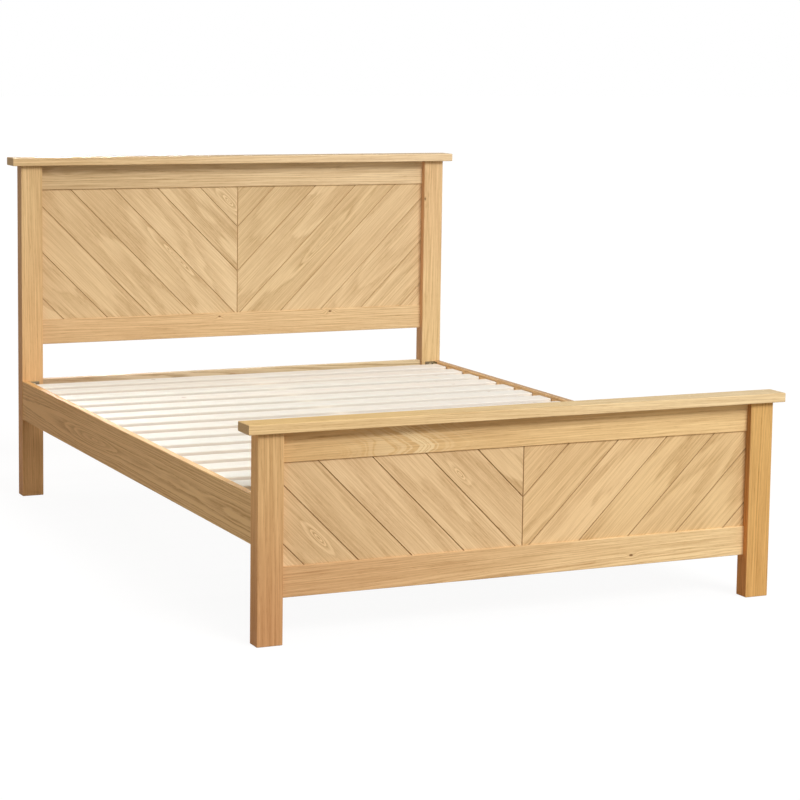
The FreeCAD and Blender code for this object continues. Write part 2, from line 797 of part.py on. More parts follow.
# Sections that several pieces share
slat_section = loose_sketch(
    "slat_section", eased_corners("slat_width", "slat_thickness", "slat_arris"), SECTION_ACROSS)
ledge_section = loose_sketch(
    "ledge_section", eased_corners("ledge_width", "ledge_height", "arris"), SECTION_ALONG)
board_section = loose_sketch(
    "board_section",
    [
        ("groove_half_width", "0"), ("board_width - groove_half_width", "0"), ("board_width", "groove_depth"),
        ("board_width", "board_thickness"), ("0", "board_thickness"), ("0", "groove_depth"),
    ],
    FLAT,
)
field_section = loose_sketch(
    "field_section",
    [
        ("groove_half_width", "0"), ("panel_half_width", "0"), ("panel_half_width", "board_thickness"),
        ("0", "board_thickness"), ("0", "groove_depth"),
    ],
    FLAT,
)

nodes = []
for end, at_front in (("head", True), ("foot", False)):
    left_post = post(f"{end}_post_left", end, at_front)
    nodes += [left_post, mirrored(left_post, f"{end}_post_right", ACROSS)]
    nodes.append(frame_rail(f"{end}_bottom_rail", end, f"{end}_rail_bottom", groove_on_top=True))
    nodes.append(frame_rail(f"{end}_top_rail", end, f"{end}_top_rail_bottom", groove_on_top=False))
    nodes += chevron(end)
    nodes.append(backing(end))
    nodes.append(cap(f"{end}_cap", end))
    nodes.append(cap_tongues(f"{end}_cap_tongues", end))

nodes.append(cross_rail("head_cross_rail"))
left_rail = side_rail("side_rail_left")
left_ledge = slat_ledge("slat_ledge_left")
nodes += [left_rail, mirrored(left_rail, "side_rail_right", ACROSS)]
nodes += [left_ledge, mirrored(left_ledge, "slat_ledge_right", ACROSS)]
nodes.append(side_rail_tongues("side_rail_tongues"))

nodes += slats()
nodes += [centre_rail("centre_rail"), foot_batten("foot_batten"), hanger("centre_rail_hanger")]
nodes += [centre_leg("centre_leg"), leg_glide("leg_glide"), leg_stud("leg_stud")]

foot_left = bracket("corner_bracket_foot_left")
head_left = mirrored(foot_left, "corner_bracket_head_left", ALONG)
nodes += [foot_left, mirrored(foot_left, "corner_bracket_foot_right", ACROSS)]
nodes += [head_left, mirrored(head_left, "corner_bracket_head_right", ACROSS)]
nodes.append(bracket_bolts("bracket_bolts"))

doc.recompute()
check_model(nodes)
os.makedirs("parts", exist_ok=True)
for node in nodes:
    node.Shape.exportStep(f"parts/{node.Label}.step")
print(len(nodes), "nodes,", sum(len(node.Shape.Solids) for node in nodes), "solids")
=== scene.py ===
import math

import bmesh
import bpy
from mathutils import Euler, Matrix, Vector


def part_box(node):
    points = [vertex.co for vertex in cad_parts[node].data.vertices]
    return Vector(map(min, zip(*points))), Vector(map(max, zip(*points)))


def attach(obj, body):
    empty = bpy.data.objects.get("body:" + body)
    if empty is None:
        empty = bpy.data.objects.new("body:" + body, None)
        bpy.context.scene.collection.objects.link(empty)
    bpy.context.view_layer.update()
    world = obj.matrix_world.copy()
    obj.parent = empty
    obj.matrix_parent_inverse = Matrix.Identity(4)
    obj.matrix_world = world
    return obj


bl_info = {
    "name": "Chevron bed dressing",
    "version": (1, 0, 0),
    "blender": (4, 5, 0),
    "location": "View3D > Sidebar > Bed",
    "description": "Woods, fittings, screws and a studio for a slatted bed frame",
    "category": "Object",
}

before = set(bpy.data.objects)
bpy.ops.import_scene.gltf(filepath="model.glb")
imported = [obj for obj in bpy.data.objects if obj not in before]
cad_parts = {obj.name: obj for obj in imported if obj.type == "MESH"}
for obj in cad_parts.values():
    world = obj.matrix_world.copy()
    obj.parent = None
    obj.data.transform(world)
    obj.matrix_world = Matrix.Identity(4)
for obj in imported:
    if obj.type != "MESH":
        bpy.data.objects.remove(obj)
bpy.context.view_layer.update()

MILLIMETRE = 0.001

# How the grain lies in each piece: turns of the piece that bring its length onto X
GRAIN_TURNS = {
    "across": Matrix.Identity(3),
    "along": Matrix(((0, 1, 0), (-1, 0, 0), (0, 0, 1))),
    "upright": Matrix(((0, 0, 1), (0, 1, 0), (-1, 0, 0))),
}
DIAGONAL = math.sqrt(0.5)
CHEVRON_TURNS = {
    "right": Matrix(((DIAGONAL, 0, DIAGONAL), (-DIAGONAL, 0, DIAGONAL), (0, -1, 0))),
    "left": Matrix(((-DIAGONAL, 0, DIAGONAL), (DIAGONAL, 0, DIAGONAL), (0, 1, 0))),
}

# Solid oak pieces: middle of the tree from the piece's middle, lean of the tree in degrees, strength of the
# figure, and the tone at the low, left or foot end and at the other end. The two end tones are partly the
# wood's own tone and partly painted light: brighter towards the right, with painted shade at the low ends
# of the posts and at the head end of the left side rail
OAK_POSTS = {
    "head_post_left": ((0.012, 0.060), (1.1, 0.3), 0.4, (0.92, 0.75, 0.59), (0.90, 0.87, 0.77)),
    "head_post_right": ((0.050, 0.030), (-0.6, 0.5), 0.12, (1.00, 1.02, 0.89), (1.02, 0.98, 0.91)),
    "foot_post_left": ((0.070, 0.035), (0.5, -0.4), 0.15, (0.76, 0.57, 0.45), (0.89, 0.80, 0.65)),
    "foot_post_right": ((0.018, 0.075), (-0.9, 0.2), 0.7, (0.92, 0.74, 0.45), (0.98, 0.84, 0.54)),
}
OAK_RAILS = {
    "head_top_rail": ((-0.070, 0.030), (0.5, -0.5), 0.35, (0.81, 0.82, 0.80), (1.07, 1.14, 1.21)),
    "head_bottom_rail": ((-0.055, 0.060), (-0.6, 0.9), 0.7, (0.86, 0.80, 0.73), (0.96, 0.96, 0.92)),
    "foot_top_rail": ((-0.060, 0.050), (0.6, -0.4), 0.35, (0.92, 0.85, 0.70), (1.19, 1.19, 1.05)),
    "foot_bottom_rail": ((-0.060, -0.055), (1.0, -0.8), 0.4, (0.83, 0.71, 0.61), (1.13, 1.16, 1.09)),
    "head_cross_rail": ((-0.050, 0.040), (-1.3, 0.5), 0.7, (0.79, 0.83, 0.93), (0.92, 1.01, 1.07)),
}
OAK_CAPS = {
    "head_cap": ((0.015, 0.080), (0.7, 0.5), 0.6, (0.87, 0.87, 0.81), (1.10, 1.18, 1.29)),
    "foot_cap": ((-0.020, 0.070), (-0.8, 0.6), 0.6, (1.03, 1.03, 0.92), (1.19, 1.29, 1.32)),
}
OAK_SIDE_RAILS = {
    "side_rail_left": ((-0.050, -0.006), (0.2, 0.3), 0.5, (1.12, 1.04, 0.86), (0.87, 0.71, 0.50)),
    "side_rail_right": ((0.055, 0.030), (-0.7, 0.9), 0.7, (1.22, 1.15, 1.05), (1.22, 1.15, 1.06)),
}

# Painted light and shade on the faces of a piece that are square to one axis, darker or lighter by how the
# light falls on them: the axis they are square to, and their tone at the low or left end and at the other
# end
PAINTED_FACE_LIGHT = {
    "head_post_left": ((1, 0, 0), (0.85, 0.73, 0.66), (0.85, 0.72, 0.64)),
    "head_post_right": ((1, 0, 0), (1.01, 0.87, 0.96), (0.97, 0.83, 0.85)),
    "foot_post_left": ((1, 0, 0), (1.16, 1.10, 1.04), (1.42, 1.36, 1.28)),
    "foot_post_right": ((1, 0, 0), (1.10, 0.86, 0.82), (0.66, 0.56, 0.58)),
    "foot_cap": ((0, 0, 1), (0.83, 0.80, 0.67), (0.70, 0.70, 0.69)),
    "head_cap": ((0, 0, 1), (0.56, 0.54, 0.50), (0.60, 0.58, 0.55)),
    "side_rail_right": ((0, 0, 1), (0.47, 0.44, 0.43), (0.47, 0.44, 0.43)),
}

# Small knots in the solid oak: place and size of each
OAK_KNOTS = {
    "head_bottom_rail": (((-0.061, 0.978, 0.533), 0.0026), ((0.322, 0.978, 0.536), 0.0034)),
    "head_post_right": (((0.6505, 0.960, 0.897), 0.0028),),
    "foot_bottom_rail": (((0.311, -0.987, 0.136), 0.0032),),
}

# Where a hidden branch makes the rings close in loops: place, half length, half width and dip of the rings
OAK_LOOPS = {
    "side_rail_left": (((-0.712, 0.236, 0.294), 0.220, 0.024, 0.020),),
    "head_top_rail": (((0.330, 0.978, 0.998), 0.080, 0.012, 0.007),
                      ((-0.560, 0.978, 0.992), 0.070, 0.012, 0.006)),
    "head_post_left": (((-0.684, 0.960, 0.773), 0.040, 0.012, 0.008),),
    "foot_chevron_left": (((-0.548, -0.983, 0.247), 0.050, 0.011, 0.012),
                          ((-0.175, -0.983, 0.376), 0.032, 0.009, 0.010)),
    "head_chevron_left": (((-0.205, 0.982, 0.726), 0.110, 0.010, 0.012),
                          ((-0.030, 0.982, 0.900), 0.060, 0.016, 0.014)),
    "head_chevron_right": (((0.290, 0.982, 0.760), 0.100, 0.010, 0.012),),
}

# Where rays that are cut along their length shimmer in pale nested arrows: tip of the brightest arrow
OAK_FLAMES = {"foot_top_rail": (-0.266, -0.987, 0.452)}

# Tone of the boards in each half panel, at its left and at its right: partly the boards' own tone and
# partly painted light that falls off towards the left
CHEVRONS = {
    "head_chevron_left": ((0.86, 0.85, 0.81), (0.925, 0.95, 0.95)),
    "head_chevron_right": ((0.91, 0.93, 0.915), (0.96, 0.975, 0.96)),
    "foot_chevron_left": ((0.93, 0.91, 0.875), (0.98, 0.965, 0.92)),
    "foot_chevron_right": ((1.02, 0.995, 0.915), (1.04, 1.025, 0.93)),
}
# How far the grooves of each end are darkened towards the groove colour, and where the darkening starts and
# ends as shares of the groove's half width
GROOVE_SHARES = {"head": 0.5, "foot": 0.9}
GROOVE_EDGE = (0.4, 1.05)
# How far the red, green and blue of neighbouring boards differ
BOARD_TONE_REACH = (0.05, 0.06, 0.09)

# Slats: the tints of the boards that they are cut from, their tone and the colour of their sawn edges at
# the right, and how much of the sawn colour the edges take on. The sawn colour on the front and back edges
# is partly their own and partly painted shade in the gaps between the slats
SLAT_TINTS = ((0.992, 0.972, 0.950), (0.974, 0.982, 0.970))
SLAT_RIGHT = (0.957, 0.937, 0.945)
SLAT_RIGHT_SAWN_AND_SHADE = (1.0, 0.975, 0.90)
SLAT_SAWN_AND_SHADE_SHARES = (0.55, 0.95)

PANEL_BACKS = ("head_panel_back", "foot_panel_back")
SLATS = tuple(sorted(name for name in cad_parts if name.startswith("slat_") and name[5:].isdigit()))
SUPPORTS = {
    "slat_ledge_left": "along",
    "slat_ledge_right": "along",
    "centre_rail": "along",
    "foot_batten": "across",
    "centre_leg": "upright",
}
TONGUES = ("head_cap_tongues", "foot_cap_tongues", "side_rail_tongues")
PRESSED_FITTINGS = (
    "corner_bracket_head_left", "corner_bracket_head_right", "corner_bracket_foot_left",
    "corner_bracket_foot_right", "centre_rail_hanger",
)
TURNED_FITTINGS = ("leg_stud", "bracket_bolts")

# Noises in the finishes: how fine each is along X, Y and Z, and its detail
NOISES = {
    "sway": ((1.3, 8.0, 8.0), 1.0),
    "ripple": ((9.0, 55.0, 55.0), 2.0),
    "seasons": ((90.0, 1.0, 1.0), 1.0),
    "streaks": ((1.4, 30.0, 30.0), 2.0),
    "strands": ((2.2, 230.0, 230.0), 1.0),
    "fibres": ((8.0, 330.0, 330.0), 1.0),
    "pores": ((42.0, 1300.0, 1300.0), 1.0),
    "knot edge": ((240.0, 240.0, 240.0), 2.0),
    "flame waver": ((30.0, 90.0, 90.0), 2.0),
    "flame arrows": ((150.0, 1.0, 1.0), 0.0),
    "beech flecks": ((900.0, 900.0, 260.0), 2.0),
    "zinc cloud": ((60.0, 60.0, 60.0), 3.0),
    "brush marks": ((2400.0, 2400.0, 160.0), 2.0),
    "grit": ((1800.0, 1800.0, 1800.0), 2.0),
    "scuffs": ((70.0, 70.0, 70.0), 4.0),
}

# Colour of wood that is cut across the grain, and the tone that leaves a colour as it is
END_GRAIN = (0.42, 0.26, 0.12)
PLAIN = (1.0, 1.0, 1.0)
# Knots are longer along the grain, and flames let some of the wood through
KNOT_SQUEEZE = (0.55, 1.0, 1.0)
FLAME_SHARE = 0.8

# Sockets of the node groups that carry more than a plain number
SOCKET_KINDS = {
    **dict.fromkeys(("Vector", "Centre", "Squeeze", "Reach"), "NodeSocketVector"),
    **dict.fromkeys(("Pale", "Brown", "Color"), "NodeSocketColor"),
}


def colour_setting(name, description, default):
    return bpy.props.FloatVectorProperty(
        name=name, description=description, default=default, min=0, max=1, subtype="COLOR")


def length_setting(name, description, **numbers):
    return bpy.props.FloatProperty(name=name, description=description, unit="LENGTH", **numbers)


def angle_setting(name, description, degrees, **limits):
    return bpy.props.FloatProperty(
        name=name, description=description, default=math.radians(degrees), subtype="ANGLE", **limits)


class BED_PG_oak(bpy.types.PropertyGroup):
    pale: colour_setting(
        "Pale wood", "Colour of the clear wood between the rings", default=(0.90, 0.665, 0.395))
    brown: colour_setting(
        "Brown wood", "Colour of the porous early wood in each ring", default=(0.48, 0.28, 0.118))
    knot: colour_setting("Knot", "Colour of the small knots", default=(0.24, 0.12, 0.045))
    flame: colour_setting(
        "Flame", "Colour of the pale rays that shimmer in the wood", default=(0.99, 0.84, 0.60))
    groove: colour_setting(
        "Groove", "Colour in the grooves between the chevron boards", default=(0.40, 0.24, 0.11))
    ring_width: length_setting(
        "Ring width", "Growth of the oak in a year", default=0.0045, min=0.001, max=0.02)
    board_width: length_setting(
        "Board width", "Width of a chevron board from groove to groove", default=0.1, min=0.02, max=0.3)
    groove_half_width: length_setting(
        "Groove half width", "Half of the groove between two chevron boards",
        default=0.0016, min=0.0002, max=0.01)
    lacquer: bpy.props.FloatProperty(
        name="Lacquer", description="Weight of the clear lacquer on the oak",
        default=0.02, min=0, max=1, subtype="FACTOR")


class BED_PG_pine(bpy.types.PropertyGroup):
    pale: colour_setting(
        "Pale wood", "Colour of the planed pine between the rings", default=(0.825, 0.84, 0.80))
    brown: colour_setting(
        "Late wood", "Colour of the narrow late wood in each ring", default=(0.84, 0.76, 0.65))
    # The sawn edge colour is partly the edges' own colour and partly painted shade in the gaps between
    # slats
    sawn: colour_setting("Sawn edge", "Colour of the slats' sawn edges", default=(0.83, 0.745, 0.645))
    knot: colour_setting("Knot", "Colour of the knots in the pine", default=(0.42, 0.27, 0.15))
    ring_width: length_setting(
        "Ring width", "Growth of the pine in a year", default=0.005, min=0.001, max=0.02)


class BED_PG_fittings(bpy.types.PropertyGroup):
    zinc: colour_setting(
        "Zinc", "Colour of the bright zinc on the bolts and screws", default=(0.80, 0.74, 0.60))
    dull_zinc: colour_setting(
        "Dull zinc", "Colour of the dulled zinc on the pressed brackets", default=(0.36, 0.31, 0.23))
    beech: colour_setting("Beech", "Colour of the loose tongues", default=(0.66, 0.45, 0.26))
    glide: colour_setting(
        "Glide", "Colour of the moulded pad under the centre leg", default=(0.035, 0.035, 0.037))
    screw_head: length_setting(
        "Screw head", "Diameter of a wood screw's head", default=0.008, min=0.003, max=0.02)
    screw_rise: length_setting(
        "Screw rise", "How far a raised head stands above the wood",
        default=0.0012, min=0.0002, max=0.005)
    screw_spacing: length_setting(
        "Screw spacing", "Greatest distance between the screws of a ledge", default=0.31, min=0.05, max=1)


class BED_PG_stage(bpy.types.PropertyGroup):
    camera_place: bpy.props.FloatVectorProperty(
        name="Camera place", description="Where the camera stands",
        default=(-2.7442, -6.1255, 1.4535), subtype="TRANSLATION", unit="LENGTH")
    camera_turn: angle_setting(
        "Camera turn", "Turn of the view from the bed's length towards its right", degrees=25.036)
    camera_dip: angle_setting("Camera dip", "Dip of the view below the horizon", degrees=6.956)
    camera_roll: angle_setting("Camera roll", "Roll of the camera about its view", degrees=0.805)
    camera_lens: bpy.props.FloatProperty(
        name="Camera lens", description="Focal length in millimetres on a 36 mm sensor",
        default=107.722, min=10, max=400, unit="CAMERA")
    camera_shift: bpy.props.FloatProperty(
        name="Camera shift", description="Shift of the lens that keeps the posts nearly upright",
        default=-0.1, min=-1, max=1)
    key_from: bpy.props.FloatVectorProperty(
        name="Key light from", description="Direction that the key light comes from",
        default=(0.20, -0.77, 0.68), subtype="DIRECTION")
    key_strength: bpy.props.FloatProperty(
        name="Key light", description="Strength of the broad light from the front",
        default=2.26, min=0, max=10)
    key_spread: angle_setting(
        "Key spread", "Apparent width of the key light, which softens its shadows",
        degrees=26, min=0, max=math.pi)
    top_strength: bpy.props.FloatProperty(
        name="Top light", description="Strength of the soft light overhead",
        default=0.90, min=0, max=10)
    top_spread: angle_setting(
        "Top spread", "Apparent width of the soft light overhead", degrees=70, min=0, max=math.pi)
    back_from: bpy.props.FloatVectorProperty(
        name="Back light from", description="Direction that the light on the backs of both ends comes from",
        default=(0.30, 0.95, 0.025), subtype="DIRECTION")
    back_strength: bpy.props.FloatProperty(
        name="Back light", description="Strength of the light on the backs of both ends",
        default=1.1, min=0, max=10)
    back_spread: angle_setting(
        "Back spread", "Apparent width of the light on the backs of both ends",
        degrees=3, min=0, max=math.pi)
    room_light: bpy.props.FloatProperty(
        name="Room light", description="Even light from all round",
        default=0.31, min=0, max=2)
    room_colour: colour_setting("Room colour", "Colour of the even light", default=(1.0, 0.88, 0.76))
    floor_white: bpy.props.FloatProperty(
        name="Floor white", description="How much of the floor's white the shadow can't darken",
        default=0.92, min=0, max=1, subtype="FACTOR")
    floor_bounce: colour_setting(
        "Floor bounce", "Colour of the light that the floor throws back up", default=(0.38, 0.345, 0.30))


class Wiring:
    """Adds nodes to one node tree and joins them."""

    def __init__(self, tree):
        self.tree = tree

    def node(self, kind, inputs=None, **settings):
        made = self.tree.nodes.new(kind)
        for name, value in settings.items():
            setattr(made, name, value)
        for key, value in (inputs or {}).items():
            self.feed(made.inputs[key], value)
        return made

    def feed(self, socket, value):
        """Join a socket to another one, or set its value."""
        if isinstance(value, bpy.types.NodeSocket):
            self.tree.links.new(value, socket)
        else:
            socket.default_value = value

    def math(self, operation, *terms, clamp=False):
        made = self.node("ShaderNodeMath", dict(enumerate(terms)), operation=operation, use_clamp=clamp)
        return made.outputs[0]

    def add(self, total, *others):
        for other in others:
            total = self.math("ADD", total, other)
        return total

    def times(self, product, *others):
        for other in others:
            product = self.math("MULTIPLY", product, other)
        return product

    def line(self, value, slope, start, clamp=False):
        """The start, and the slope for each unit of the value."""
        return self.math("MULTIPLY_ADD", value, slope, start, clamp=clamp)

    def between(self, share, low, high):
        """From low at a share of 0 to high at a share of 1."""
        return self.line(share, high - low, low)

    def swing(self, share, reach):
        """From half the reach below zero to half the reach above it."""
        return self.times(self.math("SUBTRACT", share, 0.5), reach)

    def bell(self, distance, steepness=1.0):
        """1 at no distance, falling off on both sides."""
        return self.math("EXPONENT", self.times(self.math("POWER", distance, 2.0), -steepness))

    def ease(self, value, start, end, low=0.0, high=1.0):
        """A smooth step from low to high."""
        steps = {0: value, 1: start, 2: end, 3: low, 4: high}
        return self.node("ShaderNodeMapRange", steps, interpolation_type="SMOOTHSTEP").outputs[0]

    def fade(self, value, start, end, high=1.0):
        """A smooth step from high to nothing."""
        return self.ease(value, start, end, high, 0.0)

    def vector(self, operation, *terms):
        made = self.node("ShaderNodeVectorMath", dict(enumerate(terms)), operation=operation)
        return made.outputs["Value" if operation in ("LENGTH", "DOT_PRODUCT") else "Vector"]

    def split(self, vector):
        return self.node("ShaderNodeSeparateXYZ", {0: vector}).outputs

    def join(self, x, y, z):
        return self.node("ShaderNodeCombineXYZ", {0: x, 1: y, 2: z}).outputs[0]

    def object_place(self):
        return self.node("ShaderNodeTexCoord").outputs["Object"]

    def noise(self, vector, name, shift):
        """One of the noises in the list, moved by the shift."""
        stretch, detail = NOISES[name]
        placed = self.vector("MULTIPLY_ADD", vector, stretch, shift)
        made = self.node("ShaderNodeTexNoise", {"Vector": placed, "Scale": 1.0, "Detail": detail})
        return made.outputs[0]

    def chance(self, number):
        """Colour and value that are random for each number."""
        return self.node("ShaderNodeTexWhiteNoise", {"W": number}, noise_dimensions="1D").outputs

    def blend(self, factor, first, second, mode="MIX"):
        steps = {0: factor, 6: first, 7: second}
        return self.node("ShaderNodeMix", steps, data_type="RGBA", blend_type=mode).outputs[2]

    def group(self, tree, inputs):
        return self.node("ShaderNodeGroup", inputs, node_tree=tree).outputs


def add_sockets(tree, direction, labels):
    for label in labels:
        kind = SOCKET_KINDS.get(label, "NodeSocketFloat")
        tree.interface.new_socket(name=label, in_out=direction, socket_type=kind)


def shared_group(name, *inputs):
    """Turn a function that wires a node group into one that finds the group or makes it."""
    def decorate(wire):
        def find_or_make():
            if name in bpy.data.node_groups:
                return bpy.data.node_groups[name]
            tree = bpy.data.node_groups.new(name, "ShaderNodeTree")
            wires = Wiring(tree)
            add_sockets(tree, "INPUT", inputs)
            given = wires.node("NodeGroupInput").outputs
            results = wire(wires, *[given[label] for label in inputs])
            add_sockets(tree, "OUTPUT", results)
            sockets = wires.node("NodeGroupOutput").inputs
            for label, value in results.items():
                wires.feed(sockets[label], value)
            return tree
        return find_or_make
    return decorate


@shared_group("Growth rings", "Vector", "Ring width", "Wander", "Push", "Seed")
def growth_rings(wires, place, ring_width, wander, push, seed):
    """Where a place lies between two growth rings, how strong its ring is and how steeply it is cut."""
    ripple_share = 0.2
    _, across, through = wires.split(place)
    squares = [wires.math("POWER", part, 2.0) for part in (across, through)]
    radius = wires.math("SQRT", wires.add(*squares))
    sway = wires.swing(wires.noise(place, "sway", seed), wander)
    ripple = wires.swing(wires.noise(place, "ripple", seed), wires.times(wander, ripple_share))
    bent = wires.add(radius, sway, ripple, push)
    seasons = wires.noise(wires.join(bent, 0.0, 0.0), "seasons", seed)
    uneven = wires.add(bent, wires.swing(seasons, reach=0.012))
    count = wires.math("DIVIDE", uneven, ring_width)
    year = wires.add(wires.math("FLOOR", count), seed)
    return {
        "Ring": wires.math("FRACT", count),
        "Vigour": wires.chance(year)["Value"],
        "Steepness": wires.math("DIVIDE", wires.math("ABSOLUTE", across), radius),
    }


@shared_group("Timber", "Vector", "Pale", "Brown", "Ring width", "Wander", "Figure", "Mottle", "Pores",
              "Push", "Seed")
def timber(wires, place, pale, brown, ring_width, wander, figure, mottle, pore_weight, push, seed):
    """Colour, roughness and height of sawn wood whose grain runs along X."""
    brown_share = 0.27
    light_line_share = 0.85
    fibre_height = 0.3
    rings = wires.group(growth_rings(), {"Vector": place, "Ring width": ring_width, "Wander": wander,
                                         "Push": push, "Seed": seed})
    ring = rings["Ring"]
    early_left = wires.fade(ring, start=0.0, end=0.45)
    early = wires.math("MAXIMUM", early_left, wires.ease(ring, start=0.86, end=1.0))
    late = wires.times(wires.ease(ring, start=0.35, end=0.7), wires.fade(ring, start=0.80, end=0.95))
    fibre = wires.noise(place, "fibres", seed)
    pore_dots = wires.ease(wires.noise(place, "pores", seed), start=0.52, end=0.68)
    pores = wires.times(pore_dots, wires.between(early, low=0.4, high=1.0), pore_weight)

    steep = wires.math("POWER", rings["Steepness"], 2.0)
    looped = wires.line(wires.math("ABSOLUTE", push), slope=50.0, start=0.15)
    clear = wires.line(steep, slope=0.85, start=looped, clamp=True)
    strength = wires.times(wires.between(rings["Vigour"], low=0.2, high=1.0), figure, clear)
    dark_lines = wires.times(early, strength, wires.between(fibre, low=0.15, high=1.05))
    light_lines = wires.times(late, strength, -light_line_share)
    cloud = wires.swing(wires.noise(place, "streaks", seed), reach=mottle)
    bundle_reach = wires.line(mottle, slope=1.4, start=0.35)
    bundle = wires.swing(wires.noise(place, "strands", seed), bundle_reach)
    thread = wires.swing(fibre, reach=0.7)
    shade = wires.add(cloud, brown_share, thread, dark_lines, light_lines, bundle)
    shade = wires.line(pores, slope=0.3, start=shade, clamp=True)
    hollow = wires.line(early, slope=0.25, start=pores)
    return {
        "Color": wires.blend(shade, pale, brown),
        "Roughness": wires.line(pores, slope=0.15, start=wires.between(fibre, low=0.50, high=0.60)),
        "Height": wires.math("SUBTRACT", wires.times(fibre, fibre_height), hollow),
    }


@shared_group("Knot", "Vector", "Centre", "Squeeze", "Size")
def knot_group(wires, place, centre, squeeze, size):
    """A small round knot, and how far it pushes the rings round it aside."""
    push_share = 2.2
    offset = wires.vector("SUBTRACT", place, centre)
    away = wires.vector("LENGTH", wires.vector("MULTIPLY", offset, squeeze))
    share = wires.math("DIVIDE", away, size)
    uneven = wires.noise(place, "knot edge", (0.0, 0.0, 0.0))
    return {
        "Mask": wires.fade(wires.line(uneven, slope=0.5, start=share), start=0.7, end=1.5),
        "Push": wires.times(wires.bell(share, steepness=0.11), size, push_share),
    }


@shared_group("Grain loop", "Vector", "Centre", "Reach", "Dip")
def grain_loop(wires, place, centre, reach, dip):
    """A dip of the rings over a hidden branch, which closes them in long loops."""
    steepness = 1.3
    offset = wires.vector("SUBTRACT", place, centre)
    share = wires.vector("LENGTH", wires.vector("DIVIDE", offset, reach))
    fall = wires.math("EXPONENT", wires.times(share, -steepness))
    return {"Push": wires.times(fall, dip, -1.0)}


@shared_group("Ray flame", "Vector", "Centre", "Seed")
def ray_flame(wires, place, centre, seed):
    """Pale arrows along X with their tips on a line, brightest at the centre and with an eye behind it."""
    tip_radius = 0.008
    eye_offset = (0.14, 0.0, 0.0)
    eye_size = (0.030, 1.0, 0.014)
    bright_middle = 0.014
    bright_reach = 0.036
    faint_middle = -0.06
    faint_reach = 0.13
    faint_share = 0.55
    offset = wires.vector("SUBTRACT", place, centre)
    along, _, up = wires.split(offset)
    arm = wires.math("SQRT", wires.line(up, up, tip_radius ** 2))
    waver = wires.swing(wires.noise(place, "flame waver", seed), reach=0.016)
    from_eye = wires.vector("DIVIDE", wires.vector("ADD", offset, eye_offset), eye_size)
    eye = wires.bell(wires.vector("LENGTH", from_eye))
    tip = wires.add(wires.line(arm, slope=1.8, start=along), waver)
    tip = wires.line(eye, slope=0.035, start=tip)
    arrows = wires.noise(wires.join(tip, 0.0, 0.0), "flame arrows", seed)
    bright = wires.bell(wires.math("DIVIDE", wires.add(tip, -bright_middle), bright_reach))
    faint = wires.bell(wires.math("DIVIDE", wires.add(along, -faint_middle), faint_reach))
    reach = wires.math("MAXIMUM", bright, wires.times(faint, faint_share))
    return {"Mask": wires.times(wires.ease(arrows, start=0.42, end=0.58), reach)}


@shared_group("Stray knots", "Vector", "Rarity", "Size", "Seed")
def stray_knots(wires, place, rarity, size_limit, seed):
    """Small knots scattered along boards whose grain runs along X."""
    cells_along = 4.5
    cells_across = 11.0
    push_share = 2.0
    stretch = (cells_along, cells_across, cells_across)
    placed = wires.vector("MULTIPLY_ADD", place, stretch, seed)
    inputs = {"Vector": placed, "Scale": 1.0}
    cells = wires.node("ShaderNodeTexVoronoi", inputs, voronoi_dimensions="2D").outputs
    luck = wires.split(cells["Color"])
    present = wires.math("GREATER_THAN", luck[0], rarity)
    size = wires.times(size_limit, wires.between(luck[1], low=0.4, high=1.2))
    share = wires.math("DIVIDE", cells["Distance"], wires.times(size, cells_across))
    return {
        "Mask": wires.times(wires.fade(share, start=0.5, end=1.1), present),
        "Push": wires.times(wires.bell(share, steepness=0.15), size, present, push_share),
    }


class Finish(Wiring):
    """The wiring of a new material round its Principled shader."""

    def __init__(self, name):
        self.material = bpy.data.materials.new(name.replace("_", " "))
        self.material.use_nodes = True
        super().__init__(self.material.node_tree)

    def set(self, name, value):
        self.feed(self.tree.nodes["Principled BSDF"].inputs[name], value)

    def set_relief(self, height, strength, depth):
        """Let a fine height catch the light."""
        relief = self.node("ShaderNodeBump", {"Strength": strength, "Distance": depth, "Height": height})
        self.set("Normal", relief.outputs[0])


def opaque(colour):
    return (*colour, 1.0)


def toned(colour, tone):
    return opaque([part * factor for part, factor in zip(colour, tone)])


def dress(node_name, material):
    """Give a CAD piece its finish in every material slot."""
    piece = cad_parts[node_name]
    if not piece.material_slots:
        raise RuntimeError(f"{node_name} has no material slot")
    for slot in piece.material_slots:
        slot.material = material


def dress_all(node_names, material):
    for node_name in node_names:
        dress(node_name, material)


def middle_of(node_name):
    low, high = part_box(node_name)
    return (low + high) / 2


def grain_place(wires, turn, centre, pith, lean):
    """Object coordinates turned so that the grain runs along X and the tree's middle lies on it."""
    tilt = Euler((0, *map(math.radians, lean))).to_matrix()
    turned = tilt @ turn
    shift = -(turned @ centre) - Vector((0, *pith))
    inputs = {"Vector": wires.object_place(), "Location": shift, "Rotation": turned.to_euler()}
    mapping = wires.node("ShaderNodeMapping", inputs)
    return mapping.outputs[0], Matrix.Translation(shift) @ turned.to_4x4()


def grain_marks(wires, node_name, place, to_grain):
    """The masks of a piece's knots, and how far its knots and loops push the rings aside."""
    push = 0.0
    masks = []
    for centre, size in OAK_KNOTS.get(node_name, ()):
        knot = wires.group(knot_group(), {"Vector": place, "Centre": to_grain @ Vector(centre),
                                          "Squeeze": KNOT_SQUEEZE, "Size": size})
        push = wires.add(push, knot["Push"])
        masks.append(knot["Mask"])
    for centre, half_length, half_width, dip in OAK_LOOPS.get(node_name, ()):
        loop = wires.group(grain_loop(), {"Vector": place, "Centre": to_grain @ Vector(centre),
                                          "Reach": (half_length, half_width, half_width), "Dip": dip})
        push = wires.add(push, loop["Push"])
    return masks, push


